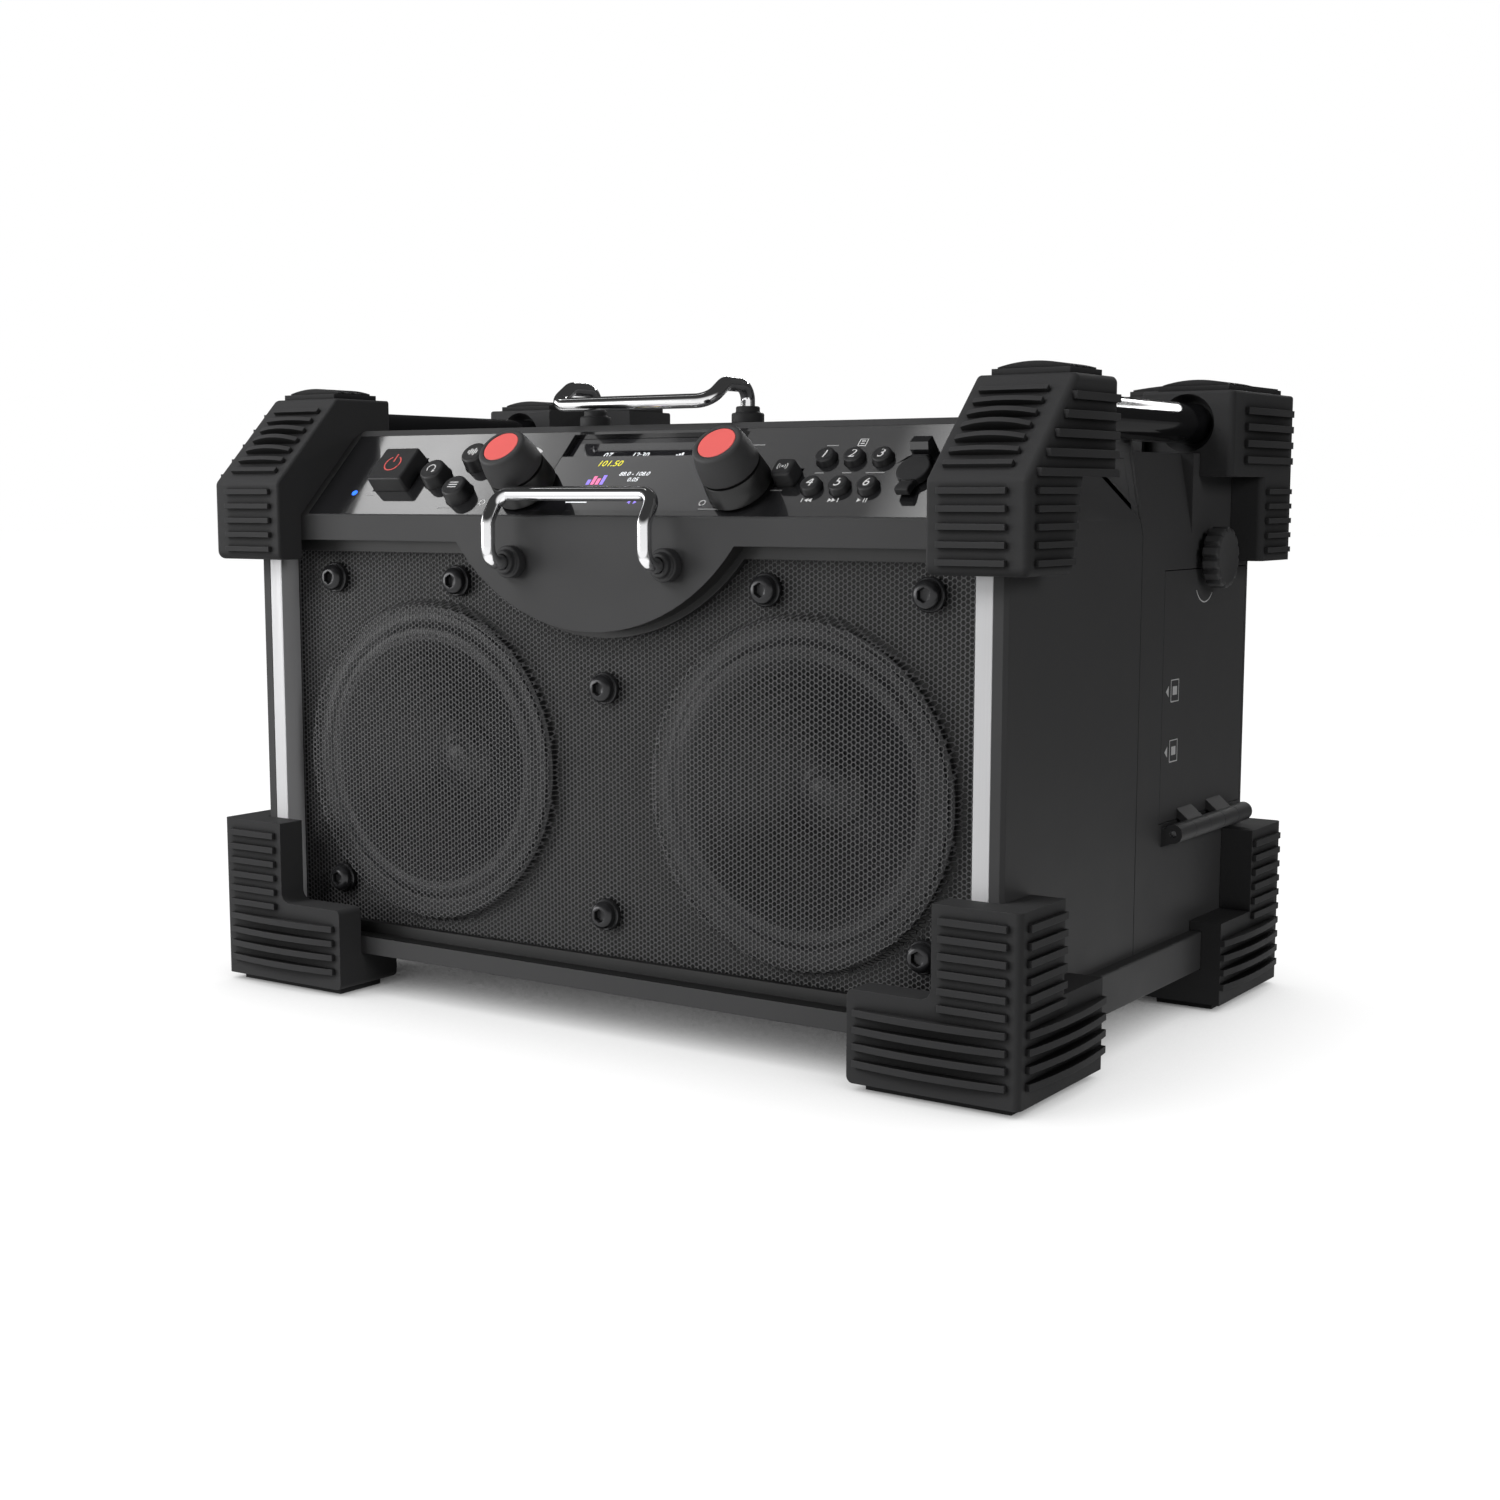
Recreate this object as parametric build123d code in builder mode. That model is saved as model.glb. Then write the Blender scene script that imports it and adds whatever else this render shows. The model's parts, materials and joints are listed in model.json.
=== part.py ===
from build123d import *
import os
from math import radians, sqrt, tan

# Jobsite radio in a corner-bumper cage, millimetres, +Z up, -Y is the front.
# The origin is the middle of the footprint, on the surface that the radio stands on.

# ---- cage of corner bumpers ----
CAGE_WIDTH = 450.0
CAGE_DEPTH = 291.0
CAGE_HEIGHT = 291.0
FOOT_PAD = 3.5
CROWN_PAD = 2.5
CROWN_RISE = 3.0
GUARD_REACH = 5.5
ARM = 40.0
ARM_LENGTH = 79.5
SIDE_ARM_LENGTH = 78.0
COLUMN = 80.0
CORNER_RADIUS = 3.0
STEP_RADIUS = 5.0
PAD_INSET = 6.0
TOP_ARM = 45.0
TOP_ARM_DROP = 39.6
TOP_ARM_LENGTH = 79.0
TOP_LEG_DROP = 79.8
SLOPE_DROP = 42.1
TOP_LEG_FOOT = 39.0
TOP_LEG_NECK = 48.0
TOP_PAD_START = 45.0
REAR_ARM_REACH = 71.0
REAR_ARM_LENGTH = 81.0
REAR_RIB_START = 14.5
INNER_RADIUS = 1.5
BEND_RADIUS = 4.0
LAP = 1.0

# ---- ribs moulded on the bumpers ----
RIB_PITCH = 7.15
RIB_FIRST = 7.6
RIB_HEIGHT = 3.0
RIB_PROUD = 2.0
RIB_BULGE = 2.6
RIB_MARGIN = 5.5
RIB_EDGE = 3.7
LOW_RIBS = 4
COLUMN_RIBS = 10
UPPER_RIB_HEIGHT = 2.5
UPPER_RIB_PITCH = 7.0
SLOPE_RIBS = 7
SLOPE_BULGE = (0.0, 1.0, 2.0, 2.6, 2.0, 1.0, 0.0)
LEG_RIBS = 5
LEG_RIB_RISE = 4.0
LEG_RIB_STEP = 1.0
ARM_RIBS = 5
ARM_RIB_SINK = 1.4
ARM_RIB_PITCH = 7.58
ARM_RIB_HEIGHT = 3.2
CROWN_RIB = 3.4
CROWN_PITCH = 6.6
CROWN_INSET = 5.0
CROWN_BACK = 4.0

# ---- housing ----
BODY_MARGIN = 16.0
BODY_INSET = 15.2
BACK_INSET = 15.0
BODY_LIFT = 16.5
TOP_DROP = 16.0
SEAM_FORWARD = 145.0
WALL = 3.0
SHELL_FIT = 0.15
BUMPER_FIT = 0.2
FRONT_CHAMFER = 1.7
FASCIA_DROP = 70.0
BEND_DROP = 58.0
RAIL_TOP = 25.2
WINDOW_MARGIN = 14.2
BADGE_RADIUS = 98.0
BADGE_DEPTH = 39.6
TIER = 5.6
BADGE_TIER = 3.0
TIER_DEPTH = 8.8
SEAM_GROOVE = 0.5
SEAM_GROOVE_WIDTH = 0.7
SLOPE_WALL = 6.5
BODY_STEP = 5.0

# ---- hand pockets under the handle tubes ----
SILL_DROP = 66.2
POCKET_LIP = 7.0
POCKET_LIP_IN = 1.3
POCKET_START = 46.0
POCKET_CORNER = 22.0
POCKET_FORWARD = 88.0
CHEEK_DROP = 29.0
CHEEK_DRAFT = 5.5

# ---- speaker grille and its screws ----
GRILLE_DEPTH = 12.3
GRILLE_SHEET = 1.2
DOME_MARGIN_HIGH = 19.9
DOME_MARGIN_WIDE = 19.4
DOME_RISE = 6.0
DOME_DRAFT = 26.0
SPEAKER_IN = 88.8
SPEAKER_SINK = 8.7
BAFFLE = 6.0
GRILLE_TUCK = 2.8
SCREW_COLLAR = 15.0
SCREW_COLLAR_HEIGHT = 2.6
SCREW_HEAD = 12.8
SCREW_HEAD_HEIGHT = 6.8
SCREW_CROWN = 2.2
SCREW_SHANK = 4.0
SCREW_SOCKET = 5.5
SCREW_FIT = 0.15
# screws round each speaker and between the two, in dome radii from the speakers' centres
SCREW_SPREAD = [(0.795, 1.127), (-0.231, 1.127), (0.782, -0.813)]
SCREW_MIDDLE = [0.526, -0.819]
REST_GAP = 0.1

# ---- loudspeakers ----
FLANGE_MARGIN = 3.0
FLANGE = 2.5
HOLE_MARGIN = 14.0
CONE_MARGIN = 22.0
CONE_DEPTH = 26.0
CONE_NECK = 17.0
CONE_SHEET = 1.0
SURROUND_RISE = 1.8
SURROUND = 12.0
SURROUND_SEAT = 8.0
DUST_CAP_LAP = 1.5
DUST_CAP_RISE = 7.0
CONE_GAP = 0.3
ROLL_SHOULDER = 0.75
MAGNET_RADIUS = 42.0
MAGNET_LENGTH = 20.0
BASKET_DEPTH = 52.0
BASKET_WALL = 3.0
RIM_FIT = 0.5

# ---- corner trims, side rails, handle tubes ----
TRIM_FACE = 7.9
TRIM_SHEET = 1.2
TRIM_SHORT = 0.3
RAIL_PROUD = 6.0
SIDE_RAIL_LOW = 16.6
SIDE_RAIL_TOP = 35.2
TUBE_DIAMETER = 19.0
TUBE_INSET = 23.0
TUBE_DROP = 15.0
TUBE_BITE = 23.0
TUBE_BITE_REAR = 12.0
TUBE_FIT = 0.05
TUBE_WALL = 2.0
TUBE_SEAT = 4.0
DISH_RADIUS = 13.5
DISH_FLOOR = 10.5
DISH_DEPTH = 8.0

# ---- guards of bent rod ----
ROD = 6.5
GUARD_HALF = 44.0
GUARD_DROP = 78.6
GUARD_RISE = 18.6
GUARD_SLANT = (7.9, 12.4)
GUARD_BEND = 7.0
ROD_SEAT = 9.0
ROD_FIT = 0.05
GROMMET = 15.0
GROMMET_HEIGHT = 5.0
GROMMET_NECK = 11.0
GROMMET_NECK_HEIGHT = 3.0

# ---- control panel, measured up its slope from the fascia bend ----
PANEL_MARGIN = 33.0
PANEL_LOW = 1.0
PANEL_HIGH = 55.5
PANEL_SHEET = 3.0
PANEL_LEDGE = 3.0
KEY_FIT = 0.25
KEY_TRAVEL = 1.0
KEY_FLANGE = 1.2
KEY_GAP = 0.2
KEY_EDGE = 0.8
BOARD_DEPTH = 9.8
BOARD = 1.6
BOARD_ENDS = (26.0, 8.0)
BOARD_SLOPE = (8.0, 49.0)
SWITCH = 6.0
SWITCH_HEIGHT = 0.5
STEM = 4.0
BOSS = 6.0
# screw bosses under the panel: from its left end, from its right end, and up its slope
BOSSES_LEFT = [(32.0, 44.0), (58.0, 11.4), (112.0, 46.0)]
BOSSES_RIGHT = [(88.0, 44.0), (30.0, 12.0), (30.0, 44.0)]

KNOB_SLOPE = 17.5
VOLUME_IN = 131.5
TUNING_IN = 101.5
KNOB_RADIUS = 14.9
KNOB_TOP_RADIUS = 11.6
KNOB_CAP_RADIUS = 13.7
KNOB_HEIGHT = 27.5
KNOB_SKIRT = 12.0
KNOB_GROOVE = 1.2
KNOB_GROOVE_DEPTH = 1.6
KNOB_BORE = 21.0
KNOB_LIFT = 1.6
KNOB_EDGE = 0.8
DISC_RADIUS = 8.8
DISC_SHEET = 1.0
SHAFT = 6.0
SHAFT_FIT = 0.05
ENCODER = 12.0

# keys: how far in from the panel's nearer end, and up its slope
POWER_IN, POWER_S = 45.0, 27.7
POWER_WIDTH, POWER_HEIGHT = 22.6, 22.2
POWER_RISE = 8.0
ROUND_KEYS = {"source_button": (71.0, 25.0), "info_button": (91.5, 14.0), "tone_button": (90.5, 36.0)}
ROUND_RADIUS = 7.4
ROUND_RISE = 7.0
AUTO_IN, AUTO_S = 80.6, 24.2
AUTO_SIZE = 10.6
AUTO_CORNER = 2.0
AUTO_RISE = 7.0
PRESET_IN, PRESET_S = 66.0, 18.0
PRESET_PITCH, PRESET_ROW = 13.9, 17.0
PRESET_RADIUS = 4.9
PRESET_RISE = 3.6
POWER_TAPER, ROUND_TAPER, AUTO_TAPER, PRESET_TAPER = 3.0, 7.0, 4.0, 6.0

DISPLAY_ENDS = (139.0, 114.0)
DISPLAY_LOW = 4.0
DISPLAY_HIGH = 53.5
LENS_STEP = 39.0
LENS_SHEET = 1.4
LENS_FIT = 0.15
LENS_RECESS = 3.0
MODULE_FIT = 1.0

AUX_IN, AUX_S = 19.0, 25.5
AUX_RADIUS = 7.5
AUX_RISE = 4.0
AUX_TAB = 8.6
AUX_LUG_S = (34.6, 41.0)
AUX_LUG_RISE = 8.0
AUX_LUG_BEVEL = (2.0, 2.5)
AUX_LUG_FALL = 1.0
AUX_ROLL = 1.8
AUX_AXIS = (32.5, 2.3)
AUX_LIP_S = 12.0
AUX_LIP = 6.6
AUX_LIP_RISE = 5.0
AUX_LIP_EDGE = 1.2
AUX_LIP_TOP = 2.4
AUX_LIP_FALL = 0.6
AUX_TAB_THIN = 0.2
AUX_PLUG = 3.0
AUX_PLUG_DEPTH = 1.5
AUX_BORE = 4.4
AUX_NOSE = 5.6
AUX_WALL = 1.0
AUX_BASE = 1.6
AUX_LIFT = 0.3

# ---- media compartment, door and lock on the right side ----
DOOR_FORWARD = (118.5, 17.5)
DOOR_LOW = 91.5
DOOR_DROP = 82.2
DOOR_SHEET = 3.0
DOOR_GAP = 0.45
DOOR_LEDGE = 3.5
BAY_DEPTH = 60.0
BAY_WALL = 2.0
LOCK_FORWARD = 69.0
LOCK_DROP = 77.3
EAR_RADIUS = 7.5
LOCK_RADIUS = 14.5
LOCK_HEIGHT = 8.0
LOCK_LIFT = 3.0
LOCK_NECK = 6.5
LOCK_SHAFT = 7.0
LOCK_SQUARE = 5.0
LOCK_GAP = 0.3
LOCK_SCALLOPS = 14
SCALLOP_RADIUS = 2.2
SCALLOP_OUT = 1.2
CAM_LENGTH = 17.0
CAM_WIDTH = 8.0
CAM_SHEET = 2.4
CAM_ROOM = 2.0
BARREL = 9.0
WEB_DROP = 7.0
WEB_RISE = 2.0
DOOR_WEB = 5.0
HINGE_OUT = 6.0
HINGE_Z = 87.5
HINGE_FORWARD = 116.0
HINGE_KNUCKLE = 18.0
HINGE_KNUCKLES = 5
HINGE_GAP = 0.3
PIN = 3.2
PIN_FIT = 0.05
PIN_SHORT = 2.0

# ---- electronics inside ----
AMP_WIDTH, AMP_HEIGHT = 190.0, 90.0
AMP_STANDOFF = 9.0
AMP_LOW = 60.0
HEAT_SINK = (60.0, 24.0, 40.0)
FIN = 3.0
FINS = 5
CORE = (66.0, 26.0, 54.0)
COIL = (40.0, 46.0, 36.0)
STRAP = 2.0
STRAP_LENGTH = 92.0
STRAP_HOLE_IN = 6.0
CORE_X, CORE_FORWARD = -70.0, 79.0
SOCKET = (16.0, 14.0, 8.0)
SOCKET_MOUTH = (13.6, 11.0, 5.0)
SOCKET_PROUD = 0.5
USB_Z, CARD_Z = 124.8, 152.9

# ---- worked out from the sizes above ----
FRONT = GUARD_REACH - (GUARD_REACH + CAGE_DEPTH + RIB_PROUD + RIB_BULGE) / 2
BACK = FRONT + CAGE_DEPTH
MIDDLE = (FRONT + BACK) / 2
BASE = FOOT_PAD
TOP = BASE + CAGE_HEIGHT
SIDE = CAGE_WIDTH / 2
FACE = FRONT + BODY_INSET
REAR = BACK - BACK_INSET
SEAM = BACK - SEAM_FORWARD
FLANK = SIDE - BODY_MARGIN
CLEAR = CAGE_WIDTH
TOP_ARM_LOW = TOP - TOP_ARM_DROP
TOP_LEG_LOW = TOP - TOP_LEG_DROP
SLOPE_LOW = TOP - SLOPE_DROP
FLOOR = BASE + BODY_LIFT
ROOF = TOP - TOP_DROP
BEND = TOP - BEND_DROP
FASCIA_EDGE = TOP - FASCIA_DROP
RAIL_EDGE = BASE + RAIL_TOP
SHEET_Y = FACE + GRILLE_DEPTH
BAFFLE_Y = SHEET_Y + GRILLE_SHEET + REST_GAP
WINDOW = FLANK - WINDOW_MARGIN
TRIM_DEPTH = GRILLE_DEPTH - TRIM_SHORT
BADGE_Z = FASCIA_EDGE - BADGE_DEPTH + BADGE_RADIUS
DOME_RADIUS = min((FASCIA_EDGE - RAIL_EDGE) / 2 - DOME_MARGIN_HIGH, WINDOW / 2 - DOME_MARGIN_WIDE)
FLANGE_RADIUS = DOME_RADIUS - FLANGE_MARGIN
BAFFLE_HOLE = DOME_RADIUS - HOLE_MARGIN
CONE_RADIUS = DOME_RADIUS - CONE_MARGIN
SPEAKER_X = WINDOW - SPEAKER_IN
SPEAKER_Z = (FASCIA_EDGE + RAIL_EDGE) / 2 - SPEAKER_SINK
SPEAKER = [(-SPEAKER_X, SPEAKER_Z), (SPEAKER_X, SPEAKER_Z)]
SCREWS = [(side * (SPEAKER_X + DOME_RADIUS * u), SPEAKER_Z + DOME_RADIUS * v)
          for side in (1, -1) for u, v in SCREW_SPREAD]
SCREWS += [(0, SPEAKER_Z + DOME_RADIUS * v) for v in SCREW_MIDDLE]
TUBE_X = SIDE - TUBE_INSET
TUBE_Z = TOP - TUBE_DROP
REAR_TUBE_END = BACK - REAR_ARM_LENGTH + TUBE_BITE_REAR
FRONT_POSTS = [(x, TOP - GUARD_DROP) for x in (-GUARD_HALF, GUARD_HALF)]
TOP_POSTS = [(x, FACE + ROOF - z) for x, z in FRONT_POSTS]
DOOR_X = FLANK - DOOR_SHEET
HINGE_X = FLANK + HINGE_OUT
AXIS_Z = BASE + HINGE_Z
LOCK = (BACK - LOCK_FORWARD, TOP - LOCK_DROP)
DOOR_Y = (BACK - DOOR_FORWARD[0], BACK - DOOR_FORWARD[1])
DOOR_Z = (BASE + DOOR_LOW, TOP - DOOR_DROP)
PANEL_HALF = FLANK - PANEL_MARGIN
PANEL = Plane(origin=(0, FACE, BEND), x_dir=(1, 0, 0), z_dir=(0, -1, 1))
PANEL_SIDE = Plane(origin=(0, FACE, BEND), x_dir=(0, 1, 1), z_dir=(1, 0, 0))

os.makedirs("parts", exist_ok=True)


def save(part, name):
    """Labels a finished piece and writes its STEP file."""
    part.label = name
    export_step(part, f"parts/{name}.step")


def across(y):
    """A vertical sketch plane facing the front, at depth y."""
    return Plane.XZ.offset(-y)


def box_between(x, y, z):
    """A closed box from three pairs of limits."""
    with BuildPart() as block:
        with BuildSketch(Plane.XY.offset(z[0])):
            with Locations(((x[0] + x[1]) / 2, (y[0] + y[1]) / 2)):
                Rectangle(x[1] - x[0], y[1] - y[0])
        extrude(amount=z[1] - z[0])
    return block.part


# ---------------------------------------------------------------- housing forms


def pocket_tool(inset, y0, y1, rear):
    """The air of one right-hand hand pocket between depths y0 and y1, drawn in by inset."""
    sill = TOP - SILL_DROP - inset
    lip_x = FLANK - POCKET_LIP_IN - inset
    lip_z = sill + POCKET_LIP
    far = SIDE + CLEAR
    above = TOP + CLEAR
    with BuildPart() as tool:
        with BuildSketch(across(y1)):
            with BuildLine():
                if rear:
                    cheek_x = lip_x - CHEEK_DRAFT
                    cheek_z = TOP - CHEEK_DROP - inset
                    inner_x = lip_x - (ROOF - lip_z) - inset
                    Polyline((FLANK - inset, sill), (lip_x, lip_z), (cheek_x, cheek_z), (inner_x, cheek_z),
                             (inner_x, above), (far, above), (far, sill), close=True)
                else:
                    Polyline((FLANK - inset, sill), (lip_x, lip_z), (lip_x - (above - lip_z), above),
                             (far, above), (far, sill), close=True)
            make_face()
        extrude(amount=y1 - y0)
        if not rear:
            with BuildSketch():
                with BuildLine():
                    corner_x = FLANK - POCKET_CORNER - inset
                    corner_y = y0 + POCKET_CORNER
                    Polyline((corner_x, y0), (corner_x - POCKET_CORNER, corner_y), (0, corner_y), (0, y1),
                             (far, y1), (far, y0), close=True)
                make_face()
            extrude(amount=above, mode=Mode.INTERSECT)
    return tool.part


def body_block(inset, front, upper_front, slope_inset, back):
    """The housing's outer form drawn in by inset, up to depth back, with the hand pockets left out.

    The wall behind the grille is at depth front, and the one behind the fascia at depth upper_front."""
    slope = BEND - FACE - slope_inset * sqrt(2)
    roof = ROOF - inset
    with BuildPart() as block:
        with BuildSketch(Plane.YZ):
            with BuildLine():
                Polyline((upper_front, FLOOR + inset), (upper_front, upper_front + slope),
                         (roof - slope, roof),
                         (back, roof), (back, FLOOR + inset), close=True)
            make_face()
            if front > upper_front:
                with Locations((upper_front, FLOOR)):
                    Rectangle(2 * (front - upper_front), 2 * (FASCIA_EDGE + BODY_STEP - FLOOR),
                              mode=Mode.SUBTRACT)
        extrude(amount=FLANK - inset, both=True)
    solid = block.part
    front_pocket = pocket_tool(inset, FRONT + POCKET_START - inset, SEAM, False)
    rear_pocket = pocket_tool(inset, SEAM, BACK - POCKET_FORWARD + inset, True)
    seat = box_between((TUBE_X - TUBE_DIAMETER, SIDE + CLEAR), (SEAM, REAR_TUBE_END + TUBE_SEAT),
                       (TOP - CHEEK_DROP - inset, TOP + CLEAR))
    for tool in (front_pocket, rear_pocket, seat):
        solid = solid - tool - tool.mirror(Plane.YZ)
    return solid


def plain_body(inset):
    return body_block(inset, FACE + inset, FACE + inset, inset, REAR - inset)


def badge_window(tier, badge_tier, tuck=0.0):
    """Face of the front opening, with the round badge left standing at its upper edge."""
    low = RAIL_EDGE + tier - tuck
    high = FASCIA_EDGE - tier + tuck
    with BuildSketch(Plane.XZ) as window:
        with Locations((0, (low + high) / 2)):
            Rectangle(2 * WINDOW, high - low)
        with Locations((0, BADGE_Z)):
            Circle(BADGE_RADIUS + badge_tier - tuck, mode=Mode.SUBTRACT)
    return window.sketch


# ---------------------------------------------------------------- front housing

with BuildPart() as front_housing:
    add(plain_body(0))
    with BuildSketch(across(BACK)):
        Rectangle(2 * CAGE_WIDTH, 4 * CAGE_HEIGHT)
    extrude(amount=BACK - SEAM, mode=Mode.SUBTRACT)
    chamfer(front_housing.edges().filter_by(Axis.Z).group_by(Axis.Y)[0], FRONT_CHAMFER)
    with BuildSketch(across(BAFFLE_Y)):
        add(badge_window(0, 0))
    extrude(amount=BAFFLE_Y - FACE, mode=Mode.SUBTRACT)
    # black tier that frames the grille
    with BuildSketch(across(SHEET_Y)):
        add(badge_window(0, 0))
        add(badge_window(TIER, BADGE_TIER), mode=Mode.SUBTRACT)
    extrude(amount=GRILLE_DEPTH - TIER_DEPTH)
    # hollow behind the baffle and the fascia
    add(body_block(WALL, BAFFLE_Y + BAFFLE, FACE + WALL, SLOPE_WALL, BACK), mode=Mode.SUBTRACT)
    with BuildSketch(across(BAFFLE_Y + BAFFLE)):
        with Locations(*SPEAKER):
            Circle(BAFFLE_HOLE)
    extrude(amount=BAFFLE, mode=Mode.SUBTRACT)
    with BuildSketch(across(BAFFLE_Y + BAFFLE)):
        with Locations(*SCREWS):
            Circle(SCREW_SHANK / 2 + SCREW_FIT)
    extrude(amount=BAFFLE, mode=Mode.SUBTRACT)
    # rebates for the corner trims
    with BuildSketch(Plane.XY.offset(RAIL_EDGE)):
        for side in (1, -1):
            with Locations((side * (WINDOW + TRIM_FACE / 2), FACE + TRIM_SHEET / 2)):
                Rectangle(TRIM_FACE, TRIM_SHEET)
            with Locations((side * (WINDOW + TRIM_SHEET / 2), FACE + TRIM_DEPTH / 2)):
                Rectangle(TRIM_SHEET, TRIM_DEPTH)
    extrude(amount=FASCIA_EDGE - RAIL_EDGE, mode=Mode.SUBTRACT)
    # seat of the control panel and the opening under it
    with BuildSketch(PANEL.offset(-PANEL_SHEET - SHELL_FIT)):
        with Locations((0, (PANEL_LOW + PANEL_HIGH) / 2)):
            Rectangle(2 * PANEL_HALF, PANEL_HIGH - PANEL_LOW)
    extrude(amount=2 * PANEL_SHEET, mode=Mode.SUBTRACT)
    with BuildSketch(PANEL.offset(-SLOPE_WALL - LAP)):
        with Locations((0, (PANEL_LOW + PANEL_HIGH) / 2)):
            Rectangle(2 * (PANEL_HALF - PANEL_LEDGE), PANEL_HIGH - PANEL_LOW - PANEL_LEDGE)
    extrude(amount=SLOPE_WALL, mode=Mode.SUBTRACT)
    # seats of the guard rods, with a boss under the roof for the upper pair
    with BuildSketch(Plane.XY.offset(ROOF - ROD_SEAT - LAP)):
        with Locations(*TOP_POSTS):
            Circle(ROD)
    extrude(amount=ROD_SEAT)
    with BuildSketch(Plane.XY.offset(ROOF - ROD_SEAT)):
        with Locations(*TOP_POSTS):
            Circle(ROD / 2 + ROD_FIT)
    extrude(amount=ROD_SEAT, mode=Mode.SUBTRACT)
    with BuildSketch(across(FACE + ROD_SEAT)):
        with Locations(*FRONT_POSTS):
            Circle(ROD / 2 + ROD_FIT)
    extrude(amount=ROD_SEAT, mode=Mode.SUBTRACT)
save(front_housing.part, "front_housing")

# ---------------------------------------------------------------- rear housing with the media bay

BAY_Y = (DOOR_Y[0] + DOOR_LEDGE, DOOR_Y[1] - DOOR_LEDGE)
BAY_Z = (DOOR_Z[0] + DOOR_LEDGE, LOCK[1] + CAM_WIDTH / 2 + CAM_ROOM)
BAY_X = (DOOR_X - BAY_DEPTH, DOOR_X)
SOCKET_X = DOOR_X - BAY_DEPTH / 3
SOCKETS = {"usb_socket": BASE + USB_Z, "card_socket": BASE + CARD_Z}
AMP_Y = REAR - WALL - AMP_STANDOFF
AMP_CENTRE = (0, BASE + AMP_LOW + AMP_HEIGHT / 2)


def knuckles(first):
    """Centres along Y of every second hinge knuckle, starting with number first."""
    return [BACK - HINGE_FORWARD + HINGE_KNUCKLE * (n + 0.5) for n in range(first, HINGE_KNUCKLES, 2)]


with BuildPart() as rear_housing:
    add(plain_body(0))
    with BuildSketch(across(SEAM)):
        Rectangle(2 * CAGE_WIDTH, 4 * CAGE_HEIGHT)
    extrude(amount=CAGE_DEPTH, mode=Mode.SUBTRACT)
    groove = box_between((-SIDE, SIDE), (SEAM, SEAM + SEAM_GROOVE_WIDTH), (0, TOP))
    add((plain_body(0) - plain_body(SEAM_GROOVE)) & groove, mode=Mode.SUBTRACT)
    add(body_block(WALL, FACE + WALL, FACE + WALL, SLOPE_WALL, REAR - WALL), mode=Mode.SUBTRACT)
    # media bay: a moulded box behind the door opening
    add(box_between((BAY_X[0] - BAY_WALL, BAY_X[1]), (BAY_Y[0] - BAY_WALL, BAY_Y[1] + BAY_WALL),
                    (BAY_Z[0] - BAY_WALL, BAY_Z[1] + BAY_WALL)))
    add(box_between(BAY_X, BAY_Y, BAY_Z), mode=Mode.SUBTRACT)
    add(box_between((DOOR_X, SIDE), DOOR_Y, DOOR_Z), mode=Mode.SUBTRACT)
    with BuildSketch(Plane.YZ.offset(DOOR_X - LAP)):
        with Locations(LOCK):
            Circle(EAR_RADIUS + DOOR_GAP)
    extrude(amount=SIDE - DOOR_X, mode=Mode.SUBTRACT)
    for z in SOCKETS.values():
        add(box_between((SOCKET_X - SOCKET[0] / 2 - SHELL_FIT, SOCKET_X + SOCKET[0] / 2 + SHELL_FIT),
                        (BAY_Y[0] - BAY_WALL - LAP, BAY_Y[0] + LAP),
                        (z - SOCKET[2] / 2 - SHELL_FIT, z + SOCKET[2] / 2 + SHELL_FIT)), mode=Mode.SUBTRACT)
    # fixed knuckles of the door hinge
    for y in knuckles(0):
        with BuildSketch(across(y + HINGE_KNUCKLE / 2 - HINGE_GAP / 2)):
            with Locations((HINGE_X, AXIS_Z)):
                Circle(BARREL / 2)
            with BuildLine():
                Polyline((FLANK - LAP, AXIS_Z - WEB_DROP), (FLANK - LAP, AXIS_Z + WEB_RISE),
                         (HINGE_X, AXIS_Z + WEB_RISE), (HINGE_X, AXIS_Z - BARREL / 2), close=True)
            make_face()
            with Locations((HINGE_X, AXIS_Z)):
                Circle(PIN / 2 + PIN_FIT, mode=Mode.SUBTRACT)
        extrude(amount=HINGE_KNUCKLE - HINGE_GAP)
    # standoffs of the amplifier board, on the back wall
    with BuildSketch(across(REAR - WALL)):
        with Locations(AMP_CENTRE):
            with GridLocations(AMP_WIDTH - 2 * BOSS, AMP_HEIGHT - 2 * BOSS, 2, 2):
                Circle(BOSS / 2)
    extrude(amount=AMP_STANDOFF)
save(rear_housing.part, "rear_housing")

# ---------------------------------------------------------------- compartment door, pin, lock

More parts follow.
